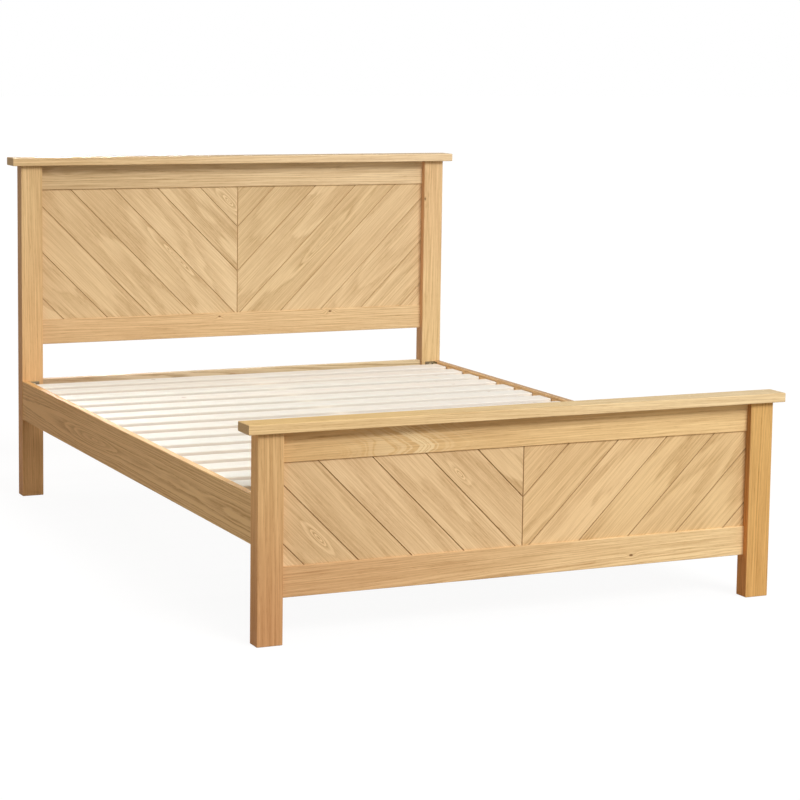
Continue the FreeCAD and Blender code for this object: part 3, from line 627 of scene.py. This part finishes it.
def sawn_wood(wires, wood, place, seed, push=0.0, pale_tone=PLAIN, brown_tone=PLAIN, ring_share=1.0,
              **figure):
    """The look of a board that is sawn from a wood."""
    return wires.group(timber(), {
        "Vector": place, "Pale": toned(wood.pale, pale_tone), "Brown": toned(wood.brown, brown_tone),
        "Ring width": ring_share * wood.ring_width, "Push": push, "Seed": seed, **figure,
    })


def row_place(wires, across, start, width):
    """Number of the board at a place in a row of boards, and the place from that board's middle."""
    count = wires.math("DIVIDE", wires.math("SUBTRACT", across, start), width)
    return wires.math("FLOOR", count), wires.swing(wires.math("FRACT", count), width)


def finish_wood(wires, look, colour, depth, coat):
    """Join a wood's look to the shader."""
    wires.set("Base Color", colour)
    wires.set("Roughness", look["Roughness"])
    wires.set_relief(look["Height"], strength=0.6, depth=depth)
    wires.set("Specular IOR Level", 0.08)
    wires.set("Coat Weight", coat)
    wires.set("Coat Roughness", 0.28)


def square_to(wires, axis, share=1.0):
    """The share on the faces that are cut square to an axis, and nothing on the others."""
    facing = wires.node("ShaderNodeNewGeometry").outputs["True Normal"]
    square = wires.math("ABSOLUTE", wires.vector("DOT_PRODUCT", facing, axis))
    return wires.ease(square, start=0.6, end=0.95, high=share)


def add_painted_face_light(wires, colour, node_name, along):
    """Wood with painted light and shade on the faces that are square to one axis."""
    if node_name not in PAINTED_FACE_LIGHT:
        return colour
    axis, start_tone_and_light, end_tone_and_light = PAINTED_FACE_LIGHT[node_name]
    tone = wires.blend(along, opaque(start_tone_and_light), opaque(end_tone_and_light))
    return wires.blend(square_to(wires, axis), colour, tone, "MULTIPLY")


def end_darkened(wires, colour, turn):
    """Wood is darker where it is cut across the grain."""
    along_grain = turn.transposed() @ Vector((1, 0, 0))
    return wires.blend(square_to(wires, along_grain, share=0.35), colour, opaque(END_GRAIN))


def oak_material(node_name, grain, pith, lean, figure, start_tone_and_light, end_tone_and_light, seed):
    """Lacquered solid oak for one piece."""
    oak = bpy.context.scene.bed_oak
    wires = Finish(f"oak {node_name}")
    turn = GRAIN_TURNS[grain]
    place, to_grain = grain_place(wires, turn, middle_of(node_name), pith, lean)
    knots, push = grain_marks(wires, node_name, place, to_grain)
    look = sawn_wood(wires, oak, place, seed, push, Wander=0.018, Figure=figure, Mottle=0.26, Pores=1.0)
    # Tone from one end of the piece to the other: partly the wood's own tone and partly painted light and
    # shade
    low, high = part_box(node_name)
    half_length = max(high - low) / 2
    along = wires.ease(wires.split(place)[0], -half_length, half_length)
    tone = wires.blend(along, opaque(start_tone_and_light), opaque(end_tone_and_light))
    colour = look["Color"]
    if node_name in OAK_FLAMES:
        tip = to_grain @ Vector(OAK_FLAMES[node_name])
        flame = wires.group(ray_flame(), {"Vector": place, "Centre": tip, "Seed": seed})
        colour = wires.blend(wires.times(flame["Mask"], FLAME_SHARE), colour, opaque(oak.flame))
    # The end tones, then painted light and shade on the faces square to one axis
    colour = add_painted_face_light(wires, wires.blend(1.0, colour, tone, "MULTIPLY"), node_name, along)
    colour = end_darkened(wires, colour, turn)
    for knot in knots:
        colour = wires.blend(knot, colour, opaque(oak.knot))
    finish_wood(wires, look, colour, depth=0.25 * MILLIMETRE, coat=oak.lacquer)
    return wires.material


def dress_oak(pieces, grain, first_seed):
    seed_step = 3.7
    for index, (node_name, settings) in enumerate(pieces.items()):
        dress(node_name, oak_material(node_name, grain, *settings, seed=first_seed + seed_step * index))


def chevron_material(node_name, left_tone_and_light, right_tone_and_light, seed):
    """Diagonal oak boards, each from its own tree, darkened in the grooves."""
    second_luck = 71.3
    seed_step = 1.37
    oak = bpy.context.scene.bed_oak
    wires = Finish(f"oak {node_name}")
    end, _, side = node_name.split("_")
    turn = CHEVRON_TURNS[side]
    first_groove = groove_offset(end) % oak.board_width
    source = wires.object_place()
    mapping = wires.node("ShaderNodeMapping", {"Vector": source, "Rotation": turn.to_euler()})
    along, across, through = wires.split(mapping.outputs[0])
    number, in_board = row_place(wires, across, first_groove, oak.board_width)
    board = wires.add(number, seed)
    place_luck = wires.split(wires.chance(board)["Color"])
    tilt_luck = wires.split(wires.chance(wires.add(board, second_luck))["Color"])
    shifted = wires.line(place_luck[2], slope=9.0, start=along)
    pith_across = wires.add(in_board, wires.swing(place_luck[0], reach=0.05))
    pith_depth = wires.add(through, wires.between(place_luck[1], low=0.02, high=0.055))
    depth = wires.line(along, wires.swing(tilt_luck[0], reach=0.03), pith_depth)
    _, push = grain_marks(wires, node_name, mapping.outputs[0], turn.to_4x4())
    place = wires.join(shifted, pith_across, depth)
    look = sawn_wood(wires, oak, place, wires.times(board, seed_step), push, ring_share=0.75,
                     Wander=0.012, Figure=1.5, Mottle=0.09, Pores=1.0)
    # Tone from left to right: partly the boards' own tone and partly painted light falling off towards the
    # left
    low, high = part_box(node_name)
    from_mitre = wires.split(source)[0]
    rightward = wires.ease(from_mitre, low.x, high.x)
    tone = wires.split(wires.blend(rightward, opaque(left_tone_and_light), opaque(right_tone_and_light)))
    apart = wires.math("SUBTRACT", tilt_luck[1], 0.5)
    board_tone = [wires.line(apart, reach, part) for part, reach in zip(tone, BOARD_TONE_REACH)]
    colour = wires.blend(1.0, look["Color"], wires.join(*board_tone), "MULTIPLY")
    to_edge = wires.math("SUBTRACT", oak.board_width / 2, wires.math("ABSOLUTE", in_board))
    nearest = wires.math("MINIMUM", to_edge, wires.math("ABSOLUTE", from_mitre))
    groove_edge = [share * oak.groove_half_width for share in GROOVE_EDGE]
    in_groove = wires.fade(nearest, *groove_edge, GROOVE_SHARES[end])
    colour = wires.blend(in_groove, colour, opaque(oak.groove))
    finish_wood(wires, look, colour, depth=0.25 * MILLIMETRE, coat=oak.lacquer)
    return wires.material


def groove_offset(end):
    """Distance of a panel's first groove from the origin, square to the boards."""
    rail_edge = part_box(f"{end}_top_rail")[0].z
    first_groove_drop = 0.128
    return (rail_edge - first_groove_drop) * DIAGONAL


def ply_material(node_name, seed):
    """Oak-faced panel with a broad sliced figure."""
    coat_share = 0.5
    oak = bpy.context.scene.bed_oak
    wires = Finish(f"oak faced {node_name}")
    turn = GRAIN_TURNS["across"]
    place, _ = grain_place(wires, turn, middle_of(node_name), pith=(0.05, 0.09), lean=(1.5, 0.0))
    look = sawn_wood(wires, oak, place, seed, pale_tone=(0.98, 0.97, 0.95), ring_share=1.6,
                     Wander=0.05, Figure=0.9, Mottle=0.28, Pores=0.8)
    finish_wood(wires, look, look["Color"], depth=0.2 * MILLIMETRE, coat=coat_share * oak.lacquer)
    return wires.material


def slat_material():
    """Planed pine for the row of slats, each slat from its own board."""
    first_luck = 5.5
    pith_height = 0.32
    seed_step = 2.3
    pine = bpy.context.scene.bed_pine
    wires = Finish("planed pine slats")
    along, across, up = wires.split(wires.object_place())
    pitch = middle_of(SLATS[1]).y - middle_of(SLATS[0]).y
    first_edge = middle_of(SLATS[0]).y - pitch / 2
    slat, in_slat = row_place(wires, across, first_edge, pitch)
    luck = wires.split(wires.chance(wires.add(slat, first_luck))["Color"])
    shifted = wires.line(luck[1], slope=7.0, start=along)
    pith_across = wires.add(in_slat, wires.swing(luck[0], reach=0.12))
    pith_depth = wires.line(luck[1], slope=0.06, start=wires.add(up, -pith_height))
    depth = wires.line(along, wires.swing(luck[2], reach=0.03), pith_depth)
    seed = wires.times(slat, seed_step)
    knots = wires.group(stray_knots(), {"Vector": wires.join(shifted, in_slat, 0.0), "Rarity": 0.82,
                                        "Size": 0.0045, "Seed": seed})
    place = wires.join(shifted, pith_across, depth)
    look = sawn_wood(wires, pine, place, seed, knots["Push"],
                     Wander=0.02, Figure=0.3, Mottle=0.28, Pores=0.0)
    colour = wires.blend(knots["Mask"], look["Color"], opaque(pine.knot))
    low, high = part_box(SLATS[0])
    rightward = wires.ease(along, low.x, high.x)
    # Front and back edges: partly their own sawn colour and partly painted shade in the gaps between the
    # slats
    sawn = wires.blend(rightward, opaque(pine.sawn), opaque(SLAT_RIGHT_SAWN_AND_SHADE))
    sawn_and_shade_share = wires.between(luck[2], *SLAT_SAWN_AND_SHADE_SHARES)
    colour = wires.blend(square_to(wires, (0, 1, 0), sawn_and_shade_share), colour, sawn)
    tint = wires.blend(luck[0], *[opaque(tint) for tint in SLAT_TINTS])
    colour = wires.blend(1.0, colour, tint, "MULTIPLY")
    colour = wires.blend(rightward, colour, opaque(SLAT_RIGHT), "MULTIPLY")
    colour = end_darkened(wires, colour, GRAIN_TURNS["across"])
    finish_wood(wires, look, colour, depth=0.2 * MILLIMETRE, coat=0.0)
    return wires.material


def support_material(node_name, grain, seed):
    """Planed pine for the battens that carry the slats."""
    pine = bpy.context.scene.bed_pine
    wires = Finish(f"planed pine {node_name}")
    turn = GRAIN_TURNS[grain]
    place, _ = grain_place(wires, turn, middle_of(node_name), pith=(0.03, 0.05), lean=(0.9, 0.4))
    knots = wires.group(stray_knots(), {"Vector": place, "Rarity": 0.75, "Size": 0.006, "Seed": seed})
    look = sawn_wood(wires, pine, place, seed, knots["Push"], pale_tone=(0.95, 0.89, 0.82),
                     brown_tone=(0.92, 0.86, 0.80), Wander=0.02, Figure=0.6, Mottle=0.28, Pores=0.0)
    colour = wires.blend(knots["Mask"], end_darkened(wires, look["Color"], turn), opaque(pine.knot))
    finish_wood(wires, look, colour, depth=0.2 * MILLIMETRE, coat=0.0)
    return wires.material


def beech_material():
    """Beech of the loose tongues, with its short flecks."""
    fleck_colour = (0.42, 0.25, 0.13)
    fittings = bpy.context.scene.bed_fittings
    wires = Finish("beech tongues")
    flecks = wires.noise(wires.object_place(), "beech flecks", (3.0, 3.0, 3.0))
    in_fleck = wires.ease(flecks, start=0.5, end=0.7)
    colour = wires.blend(in_fleck, opaque(fittings.beech), opaque(fleck_colour))
    wires.set("Base Color", colour)
    wires.set("Roughness", wires.ease(flecks, start=0.3, end=0.7, low=0.5, high=0.65))
    return wires.material


def zinc_material(name, zinc):
    """Zinc-plated steel with the faint cloud of the plating bath and fine brush marks."""
    warm_tone = (1.0, 0.95, 0.84)
    wires = Finish(name)
    source = wires.object_place()
    cloud = wires.noise(source, "zinc cloud", (1.0, 2.0, 3.0))
    brushed = wires.noise(source, "brush marks", (4.0, 1.0, 2.0))
    clouded = wires.ease(cloud, start=0.4, end=0.65)
    colour = wires.blend(clouded, opaque(zinc), toned(zinc, warm_tone))
    wires.set("Base Color", colour)
    wires.set("Roughness", wires.between(brushed, low=0.24, high=0.46))
    wires.set_relief(brushed, strength=0.3, depth=0.05 * MILLIMETRE)
    wires.set("Metallic", 1.0)
    return wires.material


def glide_material():
    """Moulded plastic with a fine spark-eroded texture."""
    scuff_colour = (0.10, 0.10, 0.10)
    fittings = bpy.context.scene.bed_fittings
    wires = Finish("moulded glide")
    source = wires.object_place()
    grit = wires.noise(source, "grit", (2.0, 5.0, 1.0))
    scuff = wires.noise(source, "scuffs", (1.0, 1.0, 1.0))
    scuffed = wires.ease(scuff, start=0.5, end=0.75, high=0.4)
    colour = wires.blend(scuffed, opaque(fittings.glide), opaque(scuff_colour))
    wires.set("Base Color", colour)
    wires.set("Roughness", wires.between(scuff, low=0.45, high=0.70))
    wires.set_relief(grit, strength=0.5, depth=0.05 * MILLIMETRE)
    return wires.material


def corners_in(geometry):
    return [part for part in geometry if isinstance(part, bmesh.types.BMVert)]


def screw_head():
    """A raised head with a cross recess, its rim on the wood at the origin and its top along Z."""
    fittings = bpy.context.scene.bed_fittings
    rise = fittings.screw_rise
    radius = fittings.screw_head / 2
    half_top = 0.55 * radius
    half_arm = 0.2 * radius
    sunk_depth = 0.5 * rise
    recess_depth = 1.1 * rise
    recess_taper = 0.8
    head = bmesh.new()
    bmesh.ops.create_grid(head, x_segments=3, y_segments=3, size=half_top)
    bmesh.ops.translate(head, verts=head.verts, vec=(0, 0, rise))
    cross = [face for face in head.faces if min(map(abs, face.calc_center_median().xy)) < half_arm]
    rim = [edge for edge in head.edges if edge.is_boundary]
    skirt = bmesh.ops.extrude_edge_only(head, edges=rim)["geom"]
    for corner in corners_in(skirt):
        corner.co = corner.co.xy.normalized().to_3d() * radius
    edge_ring = [part for part in skirt if isinstance(part, bmesh.types.BMEdge) and part.is_boundary]
    below = bmesh.ops.extrude_edge_only(head, edges=edge_ring)["geom"]
    bmesh.ops.translate(head, verts=corners_in(below), vec=(0, 0, -sunk_depth))
    bmesh.ops.holes_fill(head, edges=[edge for edge in head.edges if edge.is_boundary], sides=0)
    recess = bmesh.ops.extrude_face_region(head, geom=cross)["geom"]
    floor = corners_in(recess)
    bmesh.ops.scale(head, verts=floor, vec=(recess_taper, recess_taper, 1))
    bmesh.ops.translate(head, verts=floor, vec=(0, 0, -recess_depth))
    bmesh.ops.recalc_face_normals(head, faces=head.faces)
    shape = bpy.data.meshes.new("screw head")
    head.to_mesh(shape)
    head.free()
    return shape


def new_object(name, mesh, material):
    """Turn a bmesh into an object of the scene with its finish."""
    shape = bpy.data.meshes.new(name)
    mesh.to_mesh(shape)
    mesh.free()
    shape.materials.append(material)
    made = bpy.data.objects.new(name, shape)
    bpy.context.scene.collection.objects.link(made)
    return made


def add_screws(name, seats, outward):
    """One piece of like screws, each with its rim at a seat and its head facing outward."""
    turn_between = 1.9
    head = screw_head()
    turn = Vector(outward).to_track_quat("Z", "Y").to_matrix().to_4x4()
    mesh = bmesh.new()
    for index, seat in enumerate(seats):
        first = len(mesh.verts)
        mesh.from_mesh(head)
        mesh.verts.ensure_lookup_table()
        spin = Matrix.Rotation(turn_between * index, 4, "Z")
        bmesh.ops.transform(mesh, matrix=Matrix.Translation(seat) @ turn @ spin, verts=mesh.verts[first:])
    bpy.data.meshes.remove(head)
    piece = new_object(name, mesh, shared_zinc())
    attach(piece, "root")


def shared_zinc():
    name = "bright zinc"
    return bpy.data.materials.get(name) or zinc_material(name, bpy.context.scene.bed_fittings.zinc)


def spread(first, last, spacing):
    """Evenly spread places from first to last, no further apart than the spacing."""
    steps = math.ceil((last - first) / spacing)
    return [first + (last - first) * step / steps for step in range(steps + 1)]


class BED_OT_dress_posts(bpy.types.Operator):
    """Give the four posts their upright oak grain"""
    bl_idname = "bed.dress_posts"
    bl_label = "Dress posts"

    def execute(self, context):
        dress_oak(OAK_POSTS, "upright", first_seed=2.0)
        return {"FINISHED"}


class BED_OT_dress_frame_rails(bpy.types.Operator):
    """Give the rails of both ends and the cross rail their oak grain"""
    bl_idname = "bed.dress_frame_rails"
    bl_label = "Dress frame rails"

    def execute(self, context):
        dress_oak(OAK_RAILS, "across", first_seed=21.0)
        return {"FINISHED"}


class BED_OT_dress_caps(bpy.types.Operator):
    """Give the flat caps their oak grain"""
    bl_idname = "bed.dress_caps"
    bl_label = "Dress caps"

    def execute(self, context):
        dress_oak(OAK_CAPS, "across", first_seed=43.0)
        return {"FINISHED"}


class BED_OT_dress_side_rails(bpy.types.Operator):
    """Give the long side rails their oak grain"""
    bl_idname = "bed.dress_side_rails"
    bl_label = "Dress side rails"

    def execute(self, context):
        dress_oak(OAK_SIDE_RAILS, "along", first_seed=61.0)
        return {"FINISHED"}


class BED_OT_dress_chevrons(bpy.types.Operator):
    """Give each diagonal board of the panels its own oak figure"""
    bl_idname = "bed.dress_chevrons"
    bl_label = "Dress chevron boards"

    def execute(self, context):
        first_seed = 113.0
        seed_step = 40.0
        for index, (node_name, tones) in enumerate(CHEVRONS.items()):
            dress(node_name, chevron_material(node_name, *tones, seed=first_seed + seed_step * index))
        return {"FINISHED"}


class BED_OT_dress_backs(bpy.types.Operator):
    """Give the panels' backs their oak facing"""
    bl_idname = "bed.dress_backs"
    bl_label = "Dress panel backs"

    def execute(self, context):
        first_seed = 81.0
        seed_step = 5.0
        for index, node_name in enumerate(PANEL_BACKS):
            dress(node_name, ply_material(node_name, seed=first_seed + seed_step * index))
        return {"FINISHED"}


class BED_OT_dress_slats(bpy.types.Operator):
    """Give each slat its own planed pine"""
    bl_idname = "bed.dress_slats"
    bl_label = "Dress slats"

    def execute(self, context):
        dress_all(SLATS, slat_material())
        return {"FINISHED"}


class BED_OT_dress_supports(bpy.types.Operator):
    """Give the ledges, centre rail, batten and leg their planed pine"""
    bl_idname = "bed.dress_supports"
    bl_label = "Dress slat supports"

    def execute(self, context):
        first_seed = 7.0
        seed_step = 4.3
        for index, (node_name, grain) in enumerate(SUPPORTS.items()):
            dress(node_name, support_material(node_name, grain, seed=first_seed + seed_step * index))
        return {"FINISHED"}


class BED_OT_dress_tongues(bpy.types.Operator):
    """Give the loose tongues in the joints their beech"""
    bl_idname = "bed.dress_tongues"
    bl_label = "Dress tongues"

    def execute(self, context):
        dress_all(TONGUES, beech_material())
        return {"FINISHED"}


class BED_OT_dress_fittings(bpy.types.Operator):
    """Give the brackets, bolts, hanger and stud their zinc, and the glide its plastic"""
    bl_idname = "bed.dress_fittings"
    bl_label = "Dress fittings"

    def execute(self, context):
        dull_zinc = zinc_material("dull zinc", context.scene.bed_fittings.dull_zinc)
        dress_all(PRESSED_FITTINGS, dull_zinc)
        dress_all(TURNED_FITTINGS, shared_zinc())
        dress("leg_glide", glide_material())
        return {"FINISHED"}


class BED_OT_ledge_screws(bpy.types.Operator):
    """Screw each ledge to its side rail"""
    bl_idname = "bed.ledge_screws"
    bl_label = "Add ledge screws"

    def execute(self, context):
        spacing = context.scene.bed_fittings.screw_spacing
        inset = 0.06
        for side, inward in (("left", 1), ("right", -1)):
            low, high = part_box(f"slat_ledge_{side}")
            face = high.x if inward > 0 else low.x
            middle = (low.z + high.z) / 2
            places = spread(low.y + inset, high.y - inset, spacing)
            add_screws(f"ledge_screws_{side}", [(face, y, middle) for y in places], (inward, 0, 0))
        return {"FINISHED"}


class BED_OT_slat_screws(bpy.types.Operator):
    """Screw the slats down from below, through the ledges"""
    bl_idname = "bed.slat_screws"
    bl_label = "Add slat screws"

    def execute(self, context):
        for side in ("left", "right"):
            low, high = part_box(f"slat_ledge_{side}")
            middle = (low.x + high.x) / 2
            seats = [(middle, middle_of(slat).y, low.z) for slat in SLATS]
            add_screws(f"slat_screws_{side}", seats, (0, 0, -1))
        return {"FINISHED"}


class BED_OT_batten_screws(bpy.types.Operator):
    """Screw the foot batten to both foot posts"""
    bl_idname = "bed.batten_screws"
    bl_label = "Add batten screws"

    def execute(self, context):
        low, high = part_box("foot_batten")
        post_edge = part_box("foot_post_right")[0].x
        across = (post_edge + high.x) / 2
        middle = (low.z + high.z) / 2
        rise = (high.z - low.z) / 4
        seats = [(x, high.y, middle + step) for x in (-across, across) for step in (-rise, rise)]
        add_screws("batten_screws", seats, (0, 1, 0))
        return {"FINISHED"}


class BED_OT_hanger_screws(bpy.types.Operator):
    """Screw the centre rail's hanger to the head cross rail"""
    bl_idname = "bed.hanger_screws"
    bl_label = "Add hanger screws"

    def execute(self, context):
        low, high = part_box("centre_rail_hanger")
        hole_inset = 0.011
        plate = 0.0025
        face = high.y - plate
        seats = [(x, face, z) for x in (low.x + hole_inset, high.x - hole_inset)
                 for z in (low.z + hole_inset, high.z - hole_inset)]
        add_screws("hanger_screws", seats, (0, -1, 0))
        return {"FINISHED"}


def camera_rays(wires):
    """1 for what the camera sees straight, mirrored or through glass."""
    path = wires.node("ShaderNodeLightPath").outputs
    seen = wires.math("ADD", path["Is Camera Ray"], path["Is Glossy Ray"])
    return wires.math("ADD", seen, path["Is Transmission Ray"], clamp=True)


def floor_material():
    """White to the eye apart from the bed's shadow, and a pale matt floor to the light."""
    film_strength = 1.2
    stage = bpy.context.scene.bed_stage
    material = bpy.data.materials.new("studio floor")
    material.use_nodes = True
    tree = material.node_tree
    tree.nodes.clear()
    wires = Wiring(tree)
    glow = wires.node("ShaderNodeEmission", {"Strength": stage.floor_white})
    film_grey = film_strength * (1 - stage.floor_white)
    film = wires.node("ShaderNodeBsdfDiffuse", {"Color": opaque([film_grey] * 3)})
    seen = wires.node("ShaderNodeAddShader", {0: glow.outputs[0], 1: film.outputs[0]})
    matt = wires.node("ShaderNodeBsdfDiffuse", {"Color": opaque(stage.floor_bounce)})
    mix = wires.node("ShaderNodeMixShader", {0: camera_rays(wires), 1: matt.outputs[0], 2: seen.outputs[0]})
    wires.node("ShaderNodeOutputMaterial", {"Surface": mix.outputs[0]})
    return material


def light_room(scene):
    """Even light from all round, and three distant lamps."""
    stage = scene.bed_stage
    world = bpy.data.worlds.new("studio")
    world.use_nodes = True
    scene.world = world
    wires = Wiring(world.node_tree)
    background = world.node_tree.nodes["Background"]
    dimmed = toned(stage.room_colour, [stage.room_light] * 3)
    wires.feed(background.inputs["Color"], wires.blend(camera_rays(wires), dimmed, (1, 1, 1, 1)))
    add_lamp(scene, "key light", stage.key_from, stage.key_strength, stage.key_spread)
    add_lamp(scene, "top light", (0, 0, 1), stage.top_strength, stage.top_spread)
    add_lamp(scene, "back light", stage.back_from, stage.back_strength, stage.back_spread)


def add_lamp(scene, name, direction, strength, spread_angle):
    """A distant lamp that shines from a direction."""
    lamp = bpy.data.lights.new(name, "SUN")
    lamp.energy = strength
    lamp.angle = spread_angle
    holder = bpy.data.objects.new(name, lamp)
    holder.rotation_euler = Vector(direction).to_track_quat("Z", "Y").to_euler()
    scene.collection.objects.link(holder)


def set_camera(scene):
    """A camera that looks at the bed from its left front."""
    stage = scene.bed_stage
    camera = bpy.data.cameras.new("camera")
    camera.lens = stage.camera_lens
    camera.sensor_width = 36
    camera.shift_y = stage.camera_shift
    stand = bpy.data.objects.new("camera", camera)
    level = Euler((math.radians(90) - stage.camera_dip, 0, -stage.camera_turn)).to_matrix().to_4x4()
    roll = Matrix.Rotation(stage.camera_roll, 4, "Z")
    stand.matrix_world = Matrix.Translation(stage.camera_place) @ level @ roll
    scene.collection.objects.link(stand)
    scene.camera = stand


class BED_OT_set_stage(bpy.types.Operator):
    """Lay the floor and set up the light and the camera"""
    bl_idname = "bed.set_stage"
    bl_label = "Set stage"

    def execute(self, context):
        scene = context.scene
        half_width = 40
        drop = 0.5 * MILLIMETRE
        mesh = bmesh.new()
        bmesh.ops.create_grid(mesh, x_segments=1, y_segments=1, size=half_width)
        bmesh.ops.translate(mesh, verts=mesh.verts, vec=(0, 0, -drop))
        floor = new_object("floor", mesh, floor_material())
        light_room(scene)
        set_camera(scene)
        scene.view_settings.view_transform = "Standard"
        return {"FINISHED"}


OPERATORS = (
    BED_OT_dress_posts, BED_OT_dress_frame_rails, BED_OT_dress_caps, BED_OT_dress_side_rails,
    BED_OT_dress_chevrons, BED_OT_dress_backs, BED_OT_dress_slats, BED_OT_dress_supports,
    BED_OT_dress_tongues, BED_OT_dress_fittings, BED_OT_ledge_screws, BED_OT_slat_screws,
    BED_OT_batten_screws, BED_OT_hanger_screws, BED_OT_set_stage,
)
SETTINGS = {
    "bed_oak": BED_PG_oak,
    "bed_pine": BED_PG_pine,
    "bed_fittings": BED_PG_fittings,
    "bed_stage": BED_PG_stage,
}


class BED_PT_dressing(bpy.types.Panel):
    """Lists the steps that dress the bed, and their settings"""
    bl_idname = "BED_PT_dressing"
    bl_label = "Bed dressing"
    bl_space_type = "VIEW_3D"
    bl_region_type = "UI"
    bl_category = "Bed"

    def draw(self, context):
        for operator in OPERATORS:
            self.layout.operator(operator.bl_idname)
        for name, settings in SETTINGS.items():
            column = self.layout.column()
            for key in settings.__annotations__:
                column.prop(getattr(context.scene, name), key)


def register():
    for item in (*SETTINGS.values(), *OPERATORS, BED_PT_dressing):
        bpy.utils.register_class(item)
    for name, settings in SETTINGS.items():
        setattr(bpy.types.Scene, name, bpy.props.PointerProperty(type=settings))


def unregister():
    for name in SETTINGS:
        delattr(bpy.types.Scene, name)
    for item in reversed((*SETTINGS.values(), *OPERATORS, BED_PT_dressing)):
        bpy.utils.unregister_class(item)


def main():
    register()
    bpy.ops.bed.dress_posts()
    bpy.ops.bed.dress_frame_rails()
    bpy.ops.bed.dress_caps()
    bpy.ops.bed.dress_side_rails()
    bpy.ops.bed.dress_chevrons()
    bpy.ops.bed.dress_backs()
    bpy.ops.bed.dress_slats()
    bpy.ops.bed.dress_supports()
    bpy.ops.bed.dress_tongues()
    bpy.ops.bed.dress_fittings()
    bpy.ops.bed.ledge_screws()
    bpy.ops.bed.slat_screws()
    bpy.ops.bed.batten_screws()
    bpy.ops.bed.hanger_screws()
    bpy.ops.bed.set_stage()


if __name__ == "__main__":
    main()
